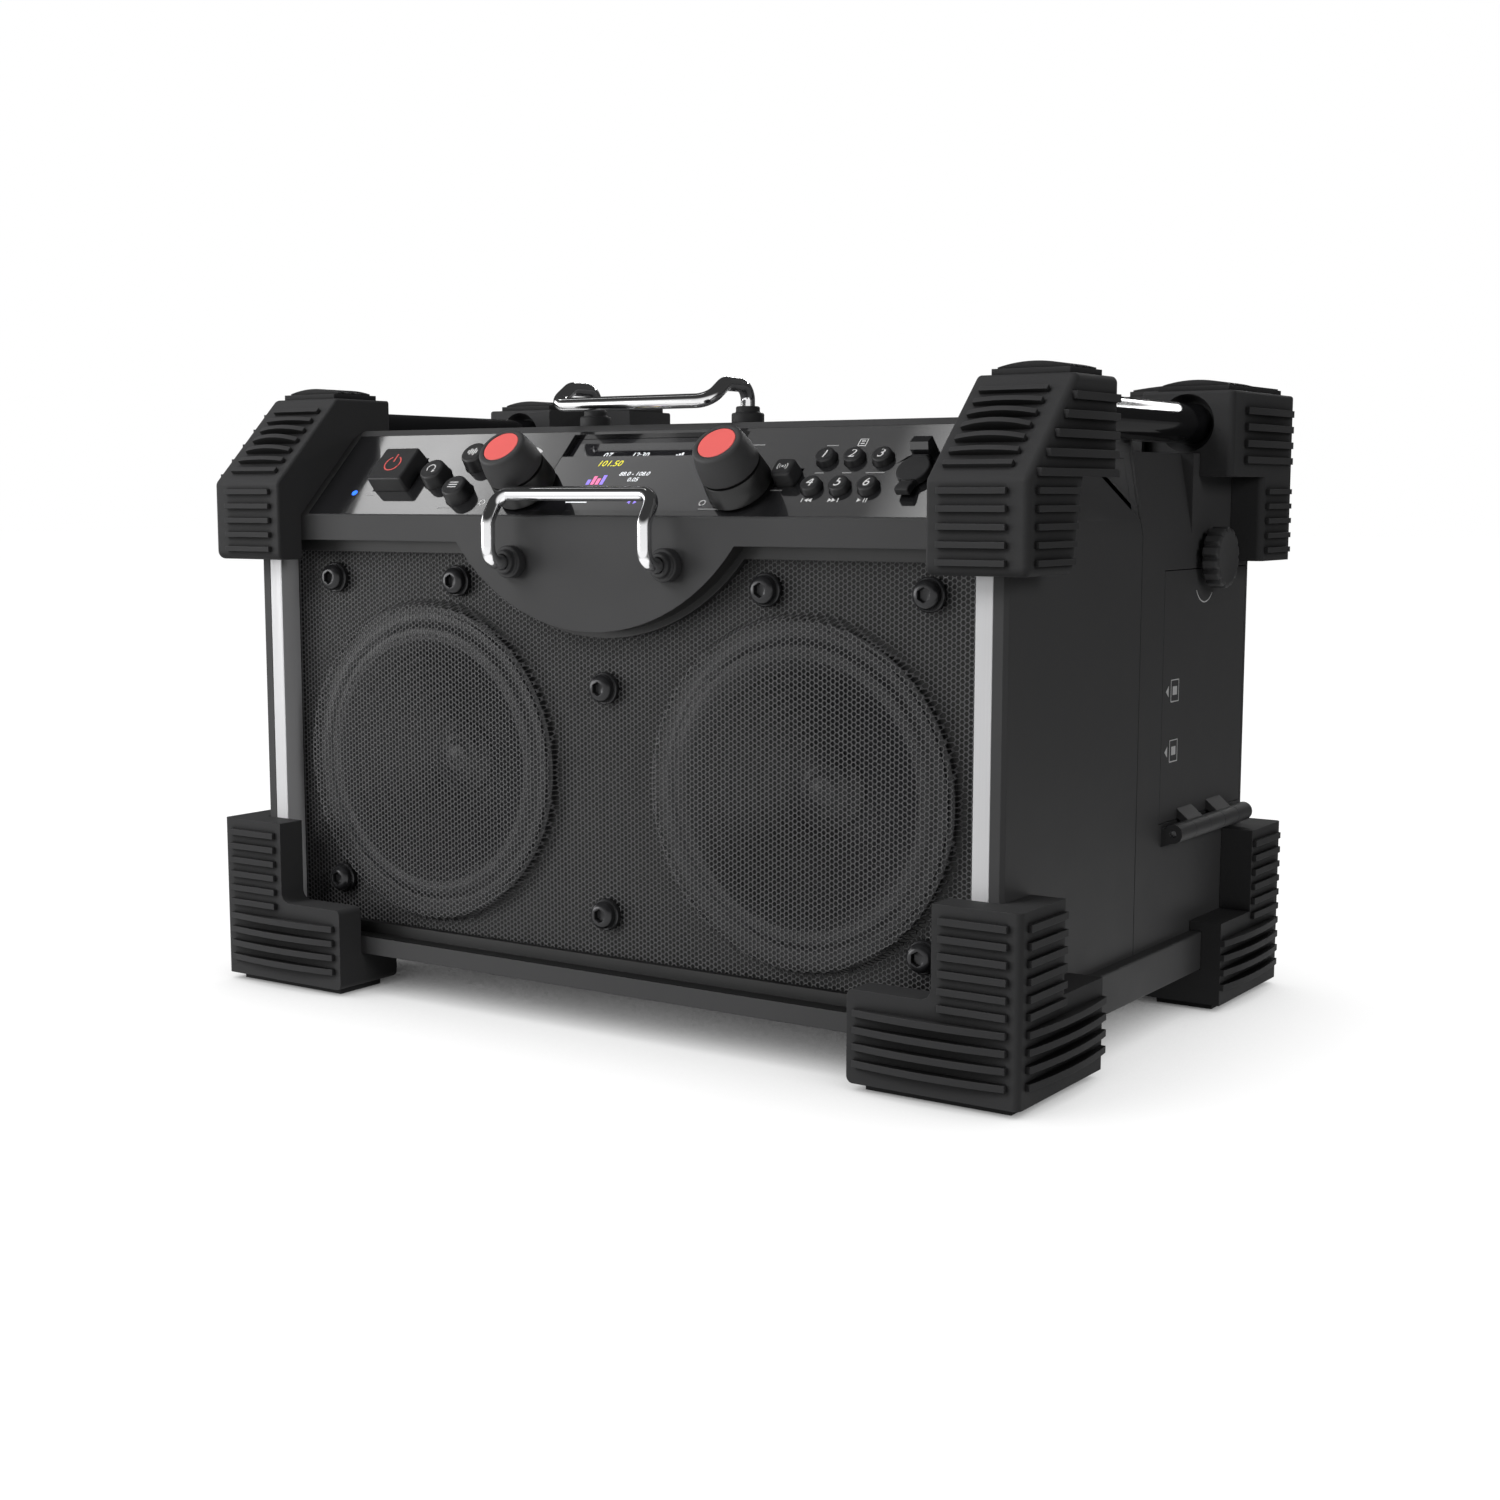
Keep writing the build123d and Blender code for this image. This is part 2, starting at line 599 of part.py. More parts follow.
with BuildPart() as compartment_door:
    with BuildSketch(Plane.YZ.offset(DOOR_X)):
        with Locations(((DOOR_Y[0] + DOOR_Y[1]) / 2, (DOOR_Z[0] + DOOR_Z[1]) / 2)):
            Rectangle(DOOR_Y[1] - DOOR_Y[0] - 2 * DOOR_GAP, DOOR_Z[1] - DOOR_Z[0] - 2 * DOOR_GAP)
        with Locations(LOCK):
            Circle(EAR_RADIUS)
            Circle(LOCK_SHAFT / 2 + PIN_FIT, mode=Mode.SUBTRACT)
    extrude(amount=DOOR_SHEET)
    for y in knuckles(1):
        with BuildSketch(across(y + HINGE_KNUCKLE / 2 - HINGE_GAP / 2)):
            low = DOOR_Z[0] + DOOR_GAP
            with Locations((HINGE_X, AXIS_Z)):
                Circle(BARREL / 2)
            with BuildLine():
                Polyline((DOOR_X, low), (DOOR_X, low + DOOR_WEB), (FLANK, low + DOOR_WEB),
                         (HINGE_X, AXIS_Z + BARREL / 2), (HINGE_X, AXIS_Z), (FLANK + LAP, low), close=True)
            make_face()
            with Locations((HINGE_X, AXIS_Z)):
                Circle(PIN / 2 + PIN_FIT, mode=Mode.SUBTRACT)
        extrude(amount=HINGE_KNUCKLE - HINGE_GAP)
save(compartment_door.part, "compartment_door")

with BuildPart() as door_hinge_pin:
    with BuildSketch(across(BACK - HINGE_FORWARD + HINGE_KNUCKLE * HINGE_KNUCKLES - PIN_SHORT)):
        with Locations((HINGE_X, AXIS_Z)):
            Circle(PIN / 2)
    extrude(amount=HINGE_KNUCKLE * HINGE_KNUCKLES - 2 * PIN_SHORT)
save(door_hinge_pin.part, "door_hinge_pin")

with BuildPart() as door_lock_knob:
    with BuildSketch(Plane.YZ.offset(FLANK + LOCK_LIFT)):
        with Locations(LOCK):
            Circle(LOCK_RADIUS)
            with PolarLocations(LOCK_RADIUS + SCALLOP_OUT, LOCK_SCALLOPS):
                Circle(SCALLOP_RADIUS, mode=Mode.SUBTRACT)
    extrude(amount=LOCK_HEIGHT)
    with BuildSketch(Plane.YZ.offset(FLANK + LOCK_GAP)):
        with Locations(LOCK):
            Circle(LOCK_NECK)
    extrude(amount=LOCK_LIFT)
    with BuildSketch(Plane.YZ.offset(DOOR_X - LOCK_GAP)):
        with Locations(LOCK):
            Circle(LOCK_SHAFT / 2)
    extrude(amount=DOOR_SHEET + LOCK_LIFT)
    with BuildSketch(Plane.YZ.offset(DOOR_X - LOCK_GAP - CAM_SHEET)):
        with Locations(LOCK):
            Rectangle(LOCK_SQUARE, LOCK_SQUARE)
    extrude(amount=CAM_SHEET)
save(door_lock_knob.part, "door_lock_knob")

with BuildPart() as door_lock_cam:
    with BuildSketch(Plane.YZ.offset(DOOR_X - LOCK_GAP - CAM_SHEET)):
        with Locations((LOCK[0], LOCK[1] - (CAM_LENGTH - CAM_WIDTH / 2) / 2)):
            SlotCenterToCenter(CAM_LENGTH - CAM_WIDTH / 2, CAM_WIDTH, rotation=90)
        with Locations(LOCK):
            Rectangle(LOCK_SQUARE + 2 * PIN_FIT, LOCK_SQUARE + 2 * PIN_FIT, mode=Mode.SUBTRACT)
    extrude(amount=CAM_SHEET)
save(door_lock_cam.part, "door_lock_cam")

for name, z in SOCKETS.items():
    with BuildPart() as socket:
        with BuildSketch(across(BAY_Y[0] + SOCKET_PROUD)):
            with Locations((SOCKET_X, z)):
                Rectangle(SOCKET[0], SOCKET[2])
        extrude(amount=SOCKET[1])
        with BuildSketch(across(BAY_Y[0] + SOCKET_PROUD)):
            with Locations((SOCKET_X, z)):
                Rectangle(SOCKET_MOUTH[0], SOCKET_MOUTH[2])
        extrude(amount=SOCKET_MOUTH[1], mode=Mode.SUBTRACT)
    save(socket.part, name)

# ---------------------------------------------------------------- control panel and display

BOSS_PLACES = [(x - PANEL_HALF, s) for x, s in BOSSES_LEFT] + [(PANEL_HALF - x, s) for x, s in BOSSES_RIGHT]
POWER = (POWER_IN - PANEL_HALF, POWER_S)
ROUNDS = {name: (x - PANEL_HALF, s) for name, (x, s) in ROUND_KEYS.items()}
AUTO = (PANEL_HALF - AUTO_IN, AUTO_S)
PRESETS = [(PANEL_HALF - PRESET_IN + PRESET_PITCH * c, PRESET_S + PRESET_ROW * (1 - r))
           for r in range(2) for c in range(3)]
KNOBS = {"volume": VOLUME_IN - PANEL_HALF, "tuning": PANEL_HALF - TUNING_IN}
AUX = (PANEL_HALF - AUX_IN, AUX_S)
DISPLAY_WIDTH = 2 * PANEL_HALF - DISPLAY_ENDS[0] - DISPLAY_ENDS[1]
DISPLAY_X = (DISPLAY_ENDS[0] - DISPLAY_ENDS[1]) / 2
BOARD_SPAN = (BOARD_ENDS[0] - PANEL_HALF, PANEL_HALF - BOARD_ENDS[1])

with BuildPart() as control_panel:
    with BuildSketch(PANEL.offset(-PANEL_SHEET)):
        with Locations((0, (PANEL_LOW + PANEL_HIGH) / 2)):
            Rectangle(2 * (PANEL_HALF - SHELL_FIT), PANEL_HIGH - PANEL_LOW - 2 * SHELL_FIT)
        with Locations(POWER):
            Rectangle(POWER_WIDTH + 2 * KEY_FIT, POWER_HEIGHT + 2 * KEY_FIT, mode=Mode.SUBTRACT)
        with Locations(*ROUNDS.values()):
            Circle(ROUND_RADIUS + KEY_FIT, mode=Mode.SUBTRACT)
        with Locations(AUTO):
            Rectangle(AUTO_SIZE + 2 * KEY_FIT, AUTO_SIZE + 2 * KEY_FIT, mode=Mode.SUBTRACT)
        with Locations(*PRESETS):
            Circle(PRESET_RADIUS + KEY_FIT, mode=Mode.SUBTRACT)
        with Locations(*[(x, KNOB_SLOPE) for x in KNOBS.values()]):
            Circle(SHAFT / 2 + KEY_FIT, mode=Mode.SUBTRACT)
        with Locations((DISPLAY_X, (DISPLAY_LOW + DISPLAY_HIGH) / 2)):
            Rectangle(DISPLAY_WIDTH, DISPLAY_HIGH - DISPLAY_LOW, mode=Mode.SUBTRACT)
        with Locations(AUX):
            Circle(AUX_NOSE + SHELL_FIT, mode=Mode.SUBTRACT)
    extrude(amount=PANEL_SHEET)
    with BuildSketch(PANEL.offset(-BOARD_DEPTH)):
        with Locations(*BOSS_PLACES):
            Circle(BOSS / 2)
    extrude(amount=BOARD_DEPTH - PANEL_SHEET)
    # moulded lug that holds the socket cover's roll
    with BuildSketch(PANEL_SIDE.offset(AUX[0] - AUX_TAB / 2)):
        with BuildLine():
            Polyline((AUX_LUG_S[0], 0), (AUX_LUG_S[0], AUX_LUG_RISE - AUX_LUG_BEVEL[1]),
                     (AUX_LUG_S[0] + AUX_LUG_BEVEL[0], AUX_LUG_RISE),
                     (AUX_LUG_S[1], AUX_LUG_RISE - AUX_LUG_FALL), (AUX_LUG_S[1], 0), close=True)
        make_face()
    extrude(amount=AUX_TAB)
save(control_panel.part, "control_panel")

with BuildPart() as display_lens:
    with BuildSketch(PANEL_SIDE.offset(DISPLAY_X)):
        with BuildLine():
            low, high = DISPLAY_LOW + LENS_FIT, DISPLAY_HIGH - LENS_FIT
            Polyline((low, -LENS_FIT), (LENS_STEP, -LENS_FIT), (LENS_STEP, -LENS_RECESS),
                     (high, -LENS_RECESS),
                     (high, -LENS_RECESS - LENS_SHEET), (LENS_STEP - LENS_SHEET, -LENS_RECESS - LENS_SHEET),
                     (LENS_STEP - LENS_SHEET, -LENS_FIT - LENS_SHEET), (low, -LENS_FIT - LENS_SHEET),
                     close=True)
        make_face()
    extrude(amount=DISPLAY_WIDTH / 2 - LENS_FIT, both=True)
save(display_lens.part, "display_lens")

with BuildPart() as display_module:
    with BuildSketch(PANEL.offset(-BOARD_DEPTH + KEY_GAP)):
        with Locations((DISPLAY_X, (DISPLAY_LOW + DISPLAY_HIGH) / 2)):
            Rectangle(DISPLAY_WIDTH - 2 * MODULE_FIT, DISPLAY_HIGH - DISPLAY_LOW - 2 * MODULE_FIT)
    extrude(amount=BOARD_DEPTH - KEY_GAP - LENS_RECESS - LENS_SHEET - KEY_GAP)
save(display_module.part, "display_module")

with BuildPart() as control_board:
    with BuildSketch(PANEL.offset(-BOARD_DEPTH - BOARD)):
        with Locations(((BOARD_SPAN[0] + BOARD_SPAN[1]) / 2, (BOARD_SLOPE[0] + BOARD_SLOPE[1]) / 2)):
            Rectangle(BOARD_SPAN[1] - BOARD_SPAN[0], BOARD_SLOPE[1] - BOARD_SLOPE[0])
    extrude(amount=BOARD)
    with BuildSketch(PANEL.offset(-BOARD_DEPTH)):
        with Locations(POWER, AUTO, *ROUNDS.values(), *PRESETS):
            Rectangle(SWITCH, SWITCH)
    extrude(amount=SWITCH_HEIGHT)
save(control_board.part, "control_board")

# ---------------------------------------------------------------- keys


def make_key(name, place, outline, rise, taper):
    """A key with a retaining flange under the panel and a stem that reaches its switch."""
    under = -PANEL_SHEET - KEY_GAP
    foot = -BOARD_DEPTH + SWITCH_HEIGHT + KEY_TRAVEL + REST_GAP
    with BuildPart() as key:
        with BuildSketch(PANEL.offset(under - KEY_FLANGE)):
            with Locations(place):
                outline(KEY_FLANGE)
        extrude(amount=KEY_FLANGE)
        with BuildSketch(PANEL.offset(under)):
            with Locations(place):
                outline(0)
        extrude(amount=-under)
        shoulder = rise - KEY_EDGE
        with BuildSketch(PANEL):
            with Locations(place):
                outline(0)
        extrude(amount=shoulder, taper=taper)
        with BuildSketch(PANEL.offset(shoulder)):
            with Locations(place):
                outline(-shoulder * tan(radians(taper)))
        extrude(amount=KEY_EDGE, taper=45)
        with BuildSketch(PANEL.offset(foot)):
            with Locations(place):
                Circle(STEM / 2)
        extrude(amount=under - KEY_FLANGE - foot)
    save(key.part, name)


def power_outline(growth):
    return Rectangle(POWER_WIDTH + 2 * growth, POWER_HEIGHT + 2 * growth)


def round_outline(growth):
    return Circle(ROUND_RADIUS + growth)


def auto_outline(growth):
    return RectangleRounded(AUTO_SIZE + 2 * growth, AUTO_SIZE + 2 * growth, AUTO_CORNER)


def preset_outline(growth):
    return Circle(PRESET_RADIUS + growth)


make_key("power_button", POWER, power_outline, POWER_RISE, POWER_TAPER)
for name, place in ROUNDS.items():
    make_key(name, place, round_outline, ROUND_RISE, ROUND_TAPER)
make_key("auto_button", AUTO, auto_outline, AUTO_RISE, AUTO_TAPER)
for number, place in enumerate(PRESETS, 1):
    make_key(f"preset_button_{number}", place, preset_outline, PRESET_RISE, PRESET_TAPER)

# ---------------------------------------------------------------- knobs, shafts, encoders


def knob_plane(x):
    """Plane through a knob's axis: across the panel, and out of it."""
    return Plane(origin=PANEL.from_local_coords((x, KNOB_SLOPE, 0)), x_dir=(1, 0, 0), z_dir=(0, -1, -1))


for label, x in KNOBS.items():
    spin = Axis(knob_plane(x).origin, PANEL.z_dir)
    with BuildPart() as knob:
        with BuildSketch(knob_plane(x)):
            with BuildLine():
                cap_low = KNOB_SKIRT + KNOB_GROOVE
                waist = KNOB_CAP_RADIUS - KNOB_GROOVE_DEPTH
                bore = SHAFT / 2 + SHAFT_FIT
                Polyline((bore, KNOB_LIFT), (KNOB_RADIUS, KNOB_LIFT), (KNOB_CAP_RADIUS, KNOB_SKIRT),
                         (waist, KNOB_SKIRT),
                         (waist, cap_low), (KNOB_CAP_RADIUS, cap_low),
                         (KNOB_TOP_RADIUS, KNOB_HEIGHT - KNOB_EDGE),
                         (KNOB_TOP_RADIUS - KNOB_EDGE, KNOB_HEIGHT), (DISC_RADIUS, KNOB_HEIGHT),
                         (DISC_RADIUS, KNOB_HEIGHT - DISC_SHEET), (0, KNOB_HEIGHT - DISC_SHEET),
                         (0, KNOB_BORE),
                         (bore, KNOB_BORE), close=True)
            make_face()
        revolve(axis=spin)
    save(knob.part, f"{label}_knob")
    with BuildPart() as disc:
        with BuildSketch(PANEL.offset(KNOB_HEIGHT - DISC_SHEET)):
            with Locations((x, KNOB_SLOPE)):
                Circle(DISC_RADIUS - SHAFT_FIT)
        extrude(amount=DISC_SHEET)
    save(disc.part, f"{label}_knob_cap")
    with BuildPart() as shaft:
        with BuildSketch(PANEL.offset(-BOARD_DEPTH + KEY_TRAVEL + 2 * KEY_GAP)):
            with Locations((x, KNOB_SLOPE)):
                Circle(SHAFT / 2)
        extrude(amount=BOARD_DEPTH - KEY_TRAVEL - 2 * KEY_GAP + KNOB_BORE - KEY_GAP)
    save(shaft.part, f"{label}_shaft")
    with BuildPart() as encoder:
        with BuildSketch(PANEL.offset(-BOARD_DEPTH + REST_GAP)):
            with Locations((x, KNOB_SLOPE)):
                Rectangle(ENCODER, ENCODER)
                Circle(SHAFT / 2 + SHAFT_FIT, mode=Mode.SUBTRACT)
        extrude(amount=BOARD_DEPTH - PANEL_SHEET - 2 * REST_GAP)
    save(encoder.part, f"{label}_encoder")

# ---------------------------------------------------------------- front socket and its rubber cover

with BuildPart() as aux_socket:
    with BuildSketch(PANEL.offset(-BOARD_DEPTH + REST_GAP)):
        with Locations(AUX):
            Circle(AUX_NOSE + AUX_WALL)
    extrude(amount=BOARD_DEPTH - PANEL_SHEET - 2 * REST_GAP)
    with BuildSketch(PANEL.offset(-PANEL_SHEET - REST_GAP)):
        with Locations(AUX):
            Circle(AUX_NOSE)
    extrude(amount=PANEL_SHEET)
    with BuildSketch(PANEL.offset(-BOARD_DEPTH + AUX_BASE)):
        with Locations(AUX):
            Circle(AUX_BORE)
    extrude(amount=BOARD_DEPTH, mode=Mode.SUBTRACT)
save(aux_socket.part, "aux_socket")

with BuildPart() as aux_cover:
    with BuildSketch(PANEL.offset(AUX_LIFT)):
        with Locations(AUX):
            Circle(AUX_RADIUS)
    extrude(amount=AUX_RISE - AUX_LIFT)
    with BuildSketch(PANEL_SIDE.offset(AUX[0] - AUX_TAB / 2)):
        with Locations(AUX_AXIS):
            Circle(AUX_ROLL)
        with Locations(((AUX_S + AUX_AXIS[0]) / 2, AUX_AXIS[1])):
            Rectangle(AUX_AXIS[0] - AUX_S, 2 * (AUX_ROLL - AUX_TAB_THIN))
    extrude(amount=AUX_TAB)
    with BuildSketch(PANEL_SIDE.offset(AUX[0] - AUX_LIP / 2)):
        with BuildLine():
            edge = AUX_S - AUX_RADIUS + LAP
            Polyline((AUX_LIP_S, AUX_LIFT + AUX_LIP_EDGE), (AUX_LIP_S, AUX_LIP_RISE),
                     (AUX_LIP_S + AUX_LIP_TOP, AUX_LIP_RISE),
                     (edge, AUX_RISE - AUX_LIP_FALL), (edge, AUX_LIFT), close=True)
        make_face()
    extrude(amount=AUX_LIP)
    with BuildSketch(PANEL.offset(-AUX_PLUG_DEPTH)):
        with Locations(AUX):
            Circle(AUX_PLUG)
    extrude(amount=AUX_PLUG_DEPTH + LAP)
save(aux_cover.part, "aux_cover")

# ---------------------------------------------------------------- grille and screws

with BuildPart() as speaker_grille:
    with BuildSketch(across(SHEET_Y + GRILLE_SHEET)):
        add(badge_window(TIER, BADGE_TIER, GRILLE_TUCK - SHELL_FIT))
        with Locations(*SCREWS):
            Circle(SCREW_SHANK / 2 + SHELL_FIT, mode=Mode.SUBTRACT)
    extrude(amount=GRILLE_SHEET)
    with BuildSketch(across(SHEET_Y)):
        with Locations(*SPEAKER):
            Circle(DOME_RADIUS)
    extrude(amount=DOME_RISE, taper=DOME_DRAFT)
    with BuildSketch(across(SHEET_Y + GRILLE_SHEET)):
        with Locations(*SPEAKER):
            Circle(DOME_RADIUS - GRILLE_SHEET)
    extrude(amount=DOME_RISE, taper=DOME_DRAFT, mode=Mode.SUBTRACT)
save(speaker_grille.part, "speaker_grille")

with BuildPart() as grille_screws:
    for width, height in ((SCREW_HEAD, SCREW_HEAD_HEIGHT), (SCREW_COLLAR, SCREW_COLLAR_HEIGHT)):
        with BuildSketch(across(SHEET_Y)):
            with Locations(*SCREWS):
                Circle(width / 2)
        extrude(amount=height)
    chamfer(grille_screws.faces().group_by(Axis.Y)[0].edges(), SCREW_CROWN, SCREW_CROWN / 2)
    with BuildSketch(across(SHEET_Y - SCREW_COLLAR_HEIGHT)):
        with Locations(*SCREWS):
            RegularPolygon(SCREW_SOCKET / 2, 6, major_radius=False)
    extrude(amount=SCREW_HEAD_HEIGHT, mode=Mode.SUBTRACT)
    with BuildSketch(across(SHEET_Y + GRILLE_SHEET + BAFFLE)):
        with Locations(*SCREWS):
            Circle(SCREW_SHANK / 2)
    extrude(amount=GRILLE_SHEET + BAFFLE)
save(grille_screws.part, "grille_screws")

# ---------------------------------------------------------------- loudspeakers

SEAT_Y = BAFFLE_Y - FLANGE
for side, (x, z) in zip(("left", "right"), SPEAKER):
    section = Plane(origin=(x, 0, z), x_dir=(1, 0, 0), z_dir=(0, 0, 1))
    spin = Axis((x, 0, z), (0, 1, 0))
    rim = BAFFLE_HOLE - RIM_FIT
    plate_y = SEAT_Y + BASKET_DEPTH - MAGNET_LENGTH
    with BuildPart() as basket:
        with BuildSketch(section):
            with BuildLine():
                Polyline((rim - BASKET_WALL, SEAT_Y), (FLANGE_RADIUS, SEAT_Y), (FLANGE_RADIUS, BAFFLE_Y),
                         (rim, BAFFLE_Y),
                         (rim, BAFFLE_Y + BAFFLE + BASKET_WALL), (MAGNET_RADIUS, plate_y + BASKET_WALL),
                         (MAGNET_RADIUS, plate_y + MAGNET_LENGTH), (CONE_NECK / 2, plate_y + MAGNET_LENGTH),
                         (CONE_NECK / 2, plate_y), (MAGNET_RADIUS - BASKET_WALL, plate_y),
                         (rim - BASKET_WALL, BAFFLE_Y + BAFFLE), close=True)
            make_face()
        revolve(axis=spin)
    save(basket.part, f"speaker_basket_{side}")
    with BuildPart() as cone:
        with BuildSketch(section):
            with BuildLine():
                seat = CONE_RADIUS + SURROUND
                front_y = SEAT_Y - CONE_SHEET
                neck_y = front_y + CONE_DEPTH
                roll = [(CONE_RADIUS + SURROUND / 4, ROLL_SHOULDER * SURROUND_RISE),
                        (CONE_RADIUS + SURROUND / 2, SURROUND_RISE),
                        (seat - SURROUND / 4, ROLL_SHOULDER * SURROUND_RISE)]
                flat = seat + SURROUND_SEAT / 2
                foot = plate_y - CONE_GAP
                Polyline((seat, front_y), (flat, front_y), (flat, SEAT_Y), (seat, SEAT_Y),
                         *[(r, SEAT_Y - rise) for r, rise in reversed(roll)], (CONE_RADIUS, SEAT_Y),
                         (CONE_NECK, neck_y + CONE_SHEET), (CONE_NECK, foot), (CONE_NECK - CONE_SHEET, foot),
                         (CONE_NECK - CONE_SHEET, neck_y), (CONE_RADIUS, front_y),
                         *[(r, front_y - rise) for r, rise in roll], close=True)
            make_face()
        revolve(axis=spin)
    save(cone.part, f"speaker_cone_{side}")
    # the dust cap is a flat-topped dome whose rim rests on the cone
    radius = CONE_NECK + DUST_CAP_LAP
    rim_y = neck_y - CONE_SHEET - DUST_CAP_LAP * CONE_DEPTH / (CONE_RADIUS - CONE_NECK)
    top_y = rim_y - DUST_CAP_RISE
    with BuildPart() as dust_cap:
        with BuildSketch(section):
            with BuildLine():
                inner, outer = radius / 3, 2 * radius / 3
                inner_y, outer_y = top_y + DUST_CAP_RISE / 8, top_y + DUST_CAP_RISE / 2
                Polyline((0, top_y), (inner, inner_y), (outer, outer_y), (radius, rim_y),
                         (radius - DUST_CAP_LAP, rim_y), (outer - CONE_SHEET, outer_y + CONE_SHEET),
                         (inner, inner_y + CONE_SHEET), (0, top_y + CONE_SHEET), close=True)
            make_face()
        revolve(axis=spin)
    save(dust_cap.part, f"speaker_dust_cap_{side}")

# ---------------------------------------------------------------- trims, rails, tubes

for side, sign in (("left", -1), ("right", 1)):
    with BuildPart() as trim:
        with BuildSketch(Plane.XY.offset(RAIL_EDGE)):
            with Locations((sign * (WINDOW + TRIM_FACE / 2), FACE + TRIM_SHEET / 2)):
                Rectangle(TRIM_FACE, TRIM_SHEET)
            with Locations((sign * (WINDOW + TRIM_SHEET / 2), FACE + TRIM_DEPTH / 2)):
                Rectangle(TRIM_SHEET, TRIM_DEPTH)
        extrude(amount=FASCIA_EDGE - RAIL_EDGE)
    save(trim.part, f"corner_trim_{side}")

    with BuildPart() as side_rail:
        with BuildSketch(across(BACK - ARM / 2)):
            with Locations((sign * (FLANK + RAIL_PROUD / 2), BASE + (SIDE_RAIL_LOW + SIDE_RAIL_TOP) / 2)):
                Rectangle(RAIL_PROUD, SIDE_RAIL_TOP - SIDE_RAIL_LOW)
        extrude(amount=CAGE_DEPTH - ARM)
    save(side_rail.part, f"side_rail_{side}")

    with BuildPart() as tube:
        with BuildSketch(across(REAR_TUBE_END)):
            with Locations((sign * TUBE_X, TUBE_Z)):
                Circle(TUBE_DIAMETER / 2)
                Circle(TUBE_DIAMETER / 2 - TUBE_WALL, mode=Mode.SUBTRACT)
        extrude(amount=CAGE_DEPTH - REAR_ARM_LENGTH - TOP_ARM_LENGTH + TUBE_BITE_REAR + TUBE_BITE)
    save(tube.part, f"handle_tube_{side}")

# ---------------------------------------------------------------- guards and grommets


def mirror_on_slope(point):
    """Carries a point of the front guard to the top guard: the slope's middle is the mirror."""
    x, y, z = point
    return (x, FACE + ROOF - z, ROOF - y + FACE)


rod_y = FRONT - GUARD_REACH + ROD / 2
post_z = TOP - GUARD_DROP
front_path = [(-GUARD_HALF, FACE + ROD_SEAT - LAP, post_z), (-GUARD_HALF, rod_y, post_z),
              (-GUARD_HALF, rod_y, post_z + GUARD_RISE),
              (-GUARD_HALF, rod_y + GUARD_SLANT[0], post_z + GUARD_RISE + GUARD_SLANT[1])]
front_path += [(-x, y, z) for x, y, z in reversed(front_path)]
top_path = [mirror_on_slope(point) for point in front_path]
GUARDS = {"guard_front": (front_path, (0, -1, 0)), "guard_top": (top_path, (0, 0, 1))}

for name, (path, start) in GUARDS.items():
    with BuildPart() as guard:
        with BuildLine():
            FilletPolyline(*path, radius=GUARD_BEND)
        with BuildSketch(Plane(origin=path[0], z_dir=start)):
            Circle(ROD / 2)
        sweep()
    save(guard.part, name)

with BuildPart() as guard_grommets:
    for plane, posts in ((across(FACE), FRONT_POSTS), (Plane.XY.offset(ROOF), TOP_POSTS)):
        full_height = GROMMET_HEIGHT + GROMMET_NECK_HEIGHT
        for width, height in ((GROMMET, GROMMET_HEIGHT), (GROMMET_NECK, full_height)):
            with BuildSketch(plane):
                with Locations(*posts):
                    Circle(width / 2)
                    Circle(ROD / 2 + ROD_FIT, mode=Mode.SUBTRACT)
            extrude(amount=height)
save(guard_grommets.part, "guard_grommets")

# ---------------------------------------------------------------- corner bumpers

FRONT_SIDE = Plane(origin=(0, FRONT, 0), x_dir=(1, 0, 0), z_dir=(0, -1, 0))
RIGHT_SIDE = Plane(origin=(SIDE, 0, 0), x_dir=(0, 1, 0), z_dir=(1, 0, 0))
BACK_SIDE = Plane(origin=(0, BACK, 0), x_dir=(-1, 0, 0), z_dir=(0, 1, 0))
SLOPE_SIDE = Plane(origin=(0, FRONT, SLOPE_LOW), x_dir=(1, 0, 0), z_dir=(0, -1, 1))
CROWN = Plane(origin=(0, 0, TOP + CROWN_PAD), x_dir=(1, 0, 0), z_dir=(0, 0, 1))


def rib(face, start, end, low, height, proud, bulge):
    """A bar moulded on a face, level from start to end, whose outer side bulges in an arc."""
    section = Plane(origin=face.from_local_coords((0, low, 0)), x_dir=face.x_dir, z_dir=face.y_dir)
    with BuildPart() as bar:
        with BuildSketch(section):
            with BuildLine():
                Polyline((start, -proud), (start, LAP), (end, LAP), (end, -proud))
                if bulge:
                    ThreePointArc((end, -proud), ((start + end) / 2, -proud - bulge), (start, -proud))
                else:
                    Line((end, -proud), (start, -proud))
            make_face()
        extrude(amount=height)
    return bar.part


